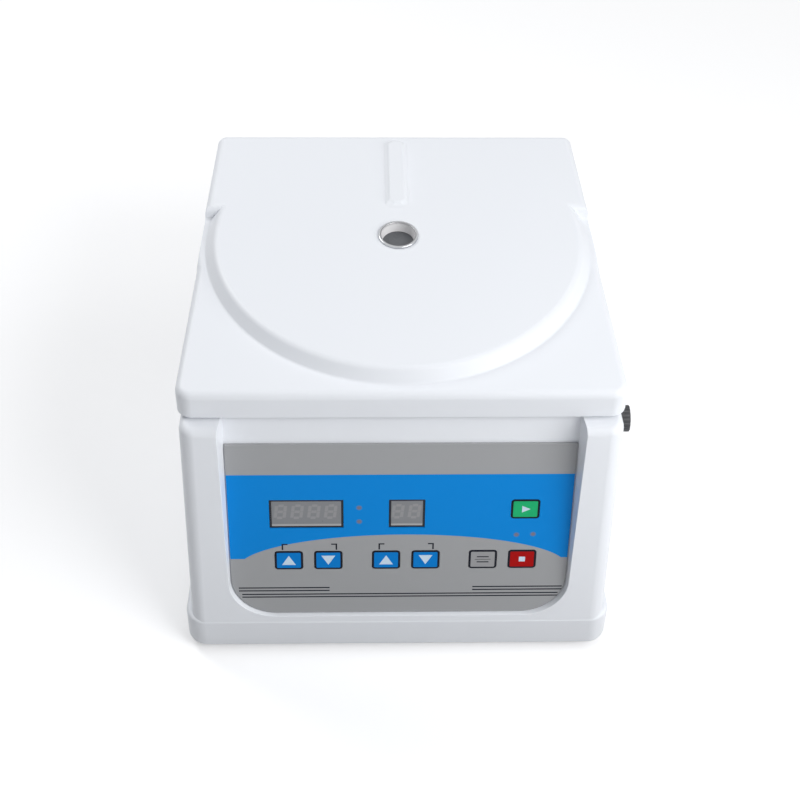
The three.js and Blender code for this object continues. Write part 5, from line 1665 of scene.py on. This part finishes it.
class CENTRIFUGE_OT_back(bpy.types.Operator):
    """Makes the inlet, the switch and the fuse holder on the back"""

    bl_idname = "centrifuge.back"
    bl_label = "Rear fittings"

    def execute(self, context):
        dark = bpy.data.materials["dark_plastic"]
        self.inlet(dark)
        self.switch(dark)
        self.fuse(dark)
        return {"FINISHED"}

    def inlet(self, dark):
        """A flanged inlet with a socket for a cord's connector, and its three pins."""
        low, high, middle = ends("power_inlet")
        face = high.y
        thick, corner, edge, soft = 2.5 * MM, 5 * MM, 0.6 * MM, 0.4 * MM
        socket_half, socket_depth, socket_corner = (12.25 * MM, 8.5 * MM), 17 * MM, 4 * MM
        flange = rounded_block(high.x - low.x, high.z - low.z, thick, corner, edge)
        laid(flange, -math.pi / 2, "X", (middle.x, face - thick, middle.z))
        shell = block_about(middle, INLET_SHELL, low.y, face - MM)
        socket = block_about(middle, socket_half, face - socket_depth, face + MM)
        bevel(socket, self.lower_corners(socket, middle), socket_corner, 1)
        body = carved(fused(flange, shell), socket)
        softened(body, soft)
        piece("power_inlet_moulded", body, dark, "power_inlet")
        pin_half, pin_start, pin_end = (MM, 2 * MM), 17.5 * MM, 2 * MM
        spacing, lift = 7 * MM, 2 * MM
        pins = []
        for x, z in ((-spacing, -lift), (0, lift), (spacing, -lift)):
            pin_middle = middle + Vector((x, 0, z))
            pin = block_about(pin_middle, pin_half, face - pin_start, face - pin_end)
            pins.append(softened(pin, soft))
        plated = polished_metal("plated_pins", (0.5, 0.5, 0.48), 0.25)
        piece("power_inlet_pins", joined(*pins), plated, "power_inlet", replaces=())

    def lower_corners(self, bm, middle):
        """The edges along Y under the middle."""
        for edge in bm.edges:
            first, second = edge.verts
            if abs((first.co - second.co).normalized().y) > 0.9 and first.co.z < middle.z:
                yield edge

    def switch(self, dark):
        """A bezel with a pocket, and the rocker in it."""
        low, high, middle = ends("switch_bezel")
        face = high.y
        thick, corner, edge, soft = 2 * MM, 2 * MM, 0.6 * MM, 0.3 * MM
        pocket_half, pocket_depth = (10.25 * MM, 6.75 * MM), 8 * MM
        bezel = rounded_block(high.x - low.x, high.z - low.z, thick, corner, edge)
        laid(bezel, -math.pi / 2, "X", (middle.x, face - thick, middle.z))
        shell = block_about(middle, SWITCH_SHELL, low.y, face - MM)
        pocket = block_about(middle, pocket_half, face - pocket_depth, face + MM)
        body = carved(fused(bezel, shell), pocket)
        softened(body, soft)
        piece("switch_bezel_moulded", body, dark, "switch_bezel")
        pivot_depth = 4 * MM
        self.rocker(Vector((middle.x, face - pivot_depth, middle.z)))

    def rocker(self, pivot):
        """A rocker bent at its middle, with one end pressed."""
        low, high, _ = ends("power_rocker")
        half, belly, rise, dip, soft = 9.25 * MM, 2 * MM, 5 * MM, MM, 0.5 * MM
        height = high.z - low.z
        outline = [
            (-half, 0), (0, -belly), (half, 0), (half, rise), (0, rise - dip), (-half, rise),
        ]
        rocker = extruded(outline, height)
        softened(rocker, soft)
        shifted(rocker, 0, 0, -height / 2)
        laid(rocker, math.radians(7), "Z", pivot)
        piece("power_rocker_moulded", rocker, self.rocker_print(pivot), "power_rocker")

    def rocker_print(self, pivot):
        """Black plastic with a bar on one end and a ring on the other."""
        finish = Finish("rocker_print", (0.02, 0.02, 0.022), 0.35)
        reach, ring_radius, ring_half, blur = 5.5 * MM, 1.8 * MM, 0.3 * MM, 0.12 * MM
        bar_half, marks_from = (0.35 * MM, 2 * MM), 2 * MM
        x, y, z = finish.place()
        u = x - pivot.x
        v = z - pivot.z
        bar = box_field(u, v, (-reach, 0), bar_half)
        ring_u = u - reach
        ring = abs((ring_u * ring_u + v * v).root() - ring_radius) - ring_half
        outward = (pivot.y + marks_from) - y
        marks = bar.lower(ring).higher(outward).inside(blur)
        finish.set("Base Color", finish.mixed(marks, (0.02, 0.02, 0.022), (0.75, 0.75, 0.75)))
        finish.gloss(0.33, 0.1, 300)
        return finish.material

    def fuse(self, dark):
        """A round cap with a coin slot on a threaded barrel."""
        low, high, middle = ends("fuse_holder")
        thread, cap, edge, rise = 6 * MM, 7.5 * MM, MM, 6 * MM
        slot_half, slot_depth = 0.6 * MM, 1.2 * MM
        face = high.y - rise
        holder = spun([
            (0, low.y - face), (thread, low.y - face), (thread, 0), (cap, 0),
            *circle_arc((cap - edge, rise - edge), edge, 0, 90, 4), (0, rise),
        ], SMALL_STEPS)
        slot_low = (-cap * 0.6, -slot_half, rise - slot_depth)
        slot_high = (cap * 0.6, slot_half, rise + MM)
        holder = carved(holder, box_between(slot_low, slot_high))
        laid(holder, -math.pi / 2, "X", (middle.x, face, middle.z))
        piece("fuse_holder_moulded", holder, dark, "fuse_holder")


class CENTRIFUGE_OT_inner(bpy.types.Operator):
    """Finishes the frame's own nodes that nothing replaces"""

    bl_idname = "centrifuge.inner"
    bl_label = "Inner pieces"

    def execute(self, context):
        slots = {
            "plated_sheet": zinc_sheet(),
            "stainless_steel": brushed_metal("latch_steel", (0.55, 0.56, 0.57), 0.3, (1, 1, 0.1)),
            "black_rubber": bpy.data.materials["black_rubber"],
            "motor_paint": painted_iron("motor_enamel", (0.02, 0.022, 0.026)),
            "transformer_iron": laminations(),
            "circuit_board": circuit_board(),
        }
        for name, node in frame["nodes"].items():
            slot = slot_class(name)
            if not node.hide_render and slot in slots:
                node.data.materials.clear()
                node.data.materials.append(slots[slot])
        return {"FINISHED"}


# Stage

LAMP_PLACES = {
    "key": (0.75, -0.95, 1.3),
    "side": (1.25, -0.75, 0.85),
    "high": (0.95, -0.25, 1.35),
    "rear": (-0.8, 0.7, 1.2),
}
LAMP_TARGET = Vector((0, 0, 0.2))
LAMP_SIZE = 0.7
FLOOR_REACH = 8


class CENTRIFUGE_OT_stage(bpy.types.Operator):
    """Makes the camera, the lamps, the world and the floor"""

    bl_idname = "centrifuge.stage"
    bl_label = "Stage"

    def execute(self, context):
        settings = context.scene.centrifuge_stage
        self.camera(context.scene)
        self.floor(settings)
        self.world(context.scene, settings)
        for name, place in LAMP_PLACES.items():
            self.lamp(name + "_light", Vector(place), getattr(settings, name + "_power"))
        context.scene.view_settings.view_transform = "Standard"
        return {"FINISHED"}

    def camera(self, scene):
        """The photograph's own view, fitted to the edges of the lid, the plinth and the panel."""
        pitch = math.radians(47.19)
        yaw = math.radians(2.52)
        roll = math.radians(1.66)
        place = Vector((-38.54 * MM, AXIS_Y - 989.85 * MM, 1153.55 * MM))
        forward = Vector((
            math.sin(yaw) * math.cos(pitch), math.cos(yaw) * math.cos(pitch), -math.sin(pitch)
        ))
        level = Vector((math.cos(yaw), -math.sin(yaw), 0))
        upward = level.cross(forward)
        right = level * math.cos(roll) + upward * math.sin(roll)
        up = upward * math.cos(roll) - level * math.sin(roll)
        camera = bpy.data.cameras.new("camera")
        camera.sensor_width = 36
        camera.lens = 76.5
        camera.clip_end = 20
        made = bpy.data.objects.new("camera", camera)
        turn = Matrix((right, up, -forward)).transposed()
        made.matrix_world = Matrix.Translation(place) @ turn.to_4x4()
        scene.collection.objects.link(made)
        scene.camera = made

    def floor(self, settings):
        """A pale floor that keeps the shadow close by and fades to white further off."""
        bm = bmesh.new()
        bmesh.ops.create_grid(bm, x_segments=1, y_segments=1, size=FLOOR_REACH)
        mesh = bpy.data.meshes.new("floor")
        bm.to_mesh(mesh)
        bm.free()
        made = bpy.data.objects.new("floor", mesh)
        bpy.context.scene.collection.objects.link(made)
        finish = Finish("floor", settings.floor_color, 0.9, specular=0.1)
        seen = finish.seen()
        x, y, _ = finish.place()
        distance = (x * x + y * y).root()
        near = (distance - settings.near_reach).inside(settings.near_reach / 4)
        bounce = finish.mixed(near, settings.far_bounce, settings.near_bounce)
        finish.set("Base Color", finish.mixed(seen, bounce, settings.floor_color))
        plain = finish.shader.outputs[0]
        close = finish.node(
            "ShaderNodeAddShader", inputs={0: plain, 1: finish.glow(settings.floor_glow)}
        )
        within = (distance - settings.open_reach).inside(settings.open_reach)
        shown = finish.either(within, finish.glow(1), close.outputs[0])
        finish.surface(finish.either(seen, plain, shown))
        mesh.materials.append(finish.material)

    def world(self, scene, settings):
        world = bpy.data.worlds.new("studio")
        world.use_nodes = True
        nodes = Nodes(world.node_tree)
        even = nodes.glow(settings.sky, "ShaderNodeBackground", (0.95, 0.975, 1))
        white = nodes.glow(1, "ShaderNodeBackground")
        shown = nodes.either(nodes.seen(), even, white)
        nodes.node("ShaderNodeOutputWorld", inputs={"Surface": shown})
        scene.world = world

    def lamp(self, name, place, power):
        light = bpy.data.lights.new(name, "AREA")
        light.shape = "DISK"
        light.size = LAMP_SIZE
        light.energy = power
        made = bpy.data.objects.new(name, light)
        turn = (LAMP_TARGET - place).to_track_quat("-Z", "Y").to_matrix().to_4x4()
        made.matrix_world = Matrix.Translation(place) @ turn
        bpy.context.scene.collection.objects.link(made)


OPERATORS = (
    CENTRIFUGE_OT_housing,
    CENTRIFUGE_OT_lid,
    CENTRIFUGE_OT_sight,
    CENTRIFUGE_OT_panel,
    CENTRIFUGE_OT_latch,
    CENTRIFUGE_OT_feet,
    CENTRIFUGE_OT_chamber,
    CENTRIFUGE_OT_rotor,
    CENTRIFUGE_OT_lid_inside,
    CENTRIFUGE_OT_hinges,
    CENTRIFUGE_OT_back,
    CENTRIFUGE_OT_inner,
    CENTRIFUGE_OT_stage,
)
SETTINGS = {
    "centrifuge_shell": ShellSettings,
    "centrifuge_panel": PanelSettings,
    "centrifuge_stage": StageSettings,
}


class CENTRIFUGE_PT_panel(bpy.types.Panel):
    """Lists the steps and their settings"""

    bl_label = "Centrifuge"
    bl_idname = "CENTRIFUGE_PT_panel"
    bl_space_type = "VIEW_3D"
    bl_region_type = "UI"
    bl_category = "Centrifuge"

    def draw(self, context):
        layout = self.layout
        for name, group in SETTINGS.items():
            box = layout.box()
            for key in group.__annotations__:
                box.prop(getattr(context.scene, name), key)
        for operator in OPERATORS:
            layout.operator(operator.bl_idname)


def register():
    for group in SETTINGS.values():
        bpy.utils.register_class(group)
    for name, group in SETTINGS.items():
        setattr(bpy.types.Scene, name, PointerProperty(type=group))
    for operator in OPERATORS:
        bpy.utils.register_class(operator)
    bpy.utils.register_class(CENTRIFUGE_PT_panel)


def unregister():
    bpy.utils.unregister_class(CENTRIFUGE_PT_panel)
    for operator in reversed(OPERATORS):
        bpy.utils.unregister_class(operator)
    for name in SETTINGS:
        delattr(bpy.types.Scene, name)
    for group in SETTINGS.values():
        bpy.utils.unregister_class(group)


def main():
    register()
    for operator in OPERATORS:
        group, name = operator.bl_idname.split(".")
        getattr(getattr(bpy.ops, group), name)()


if __name__ == "__main__":
    main()
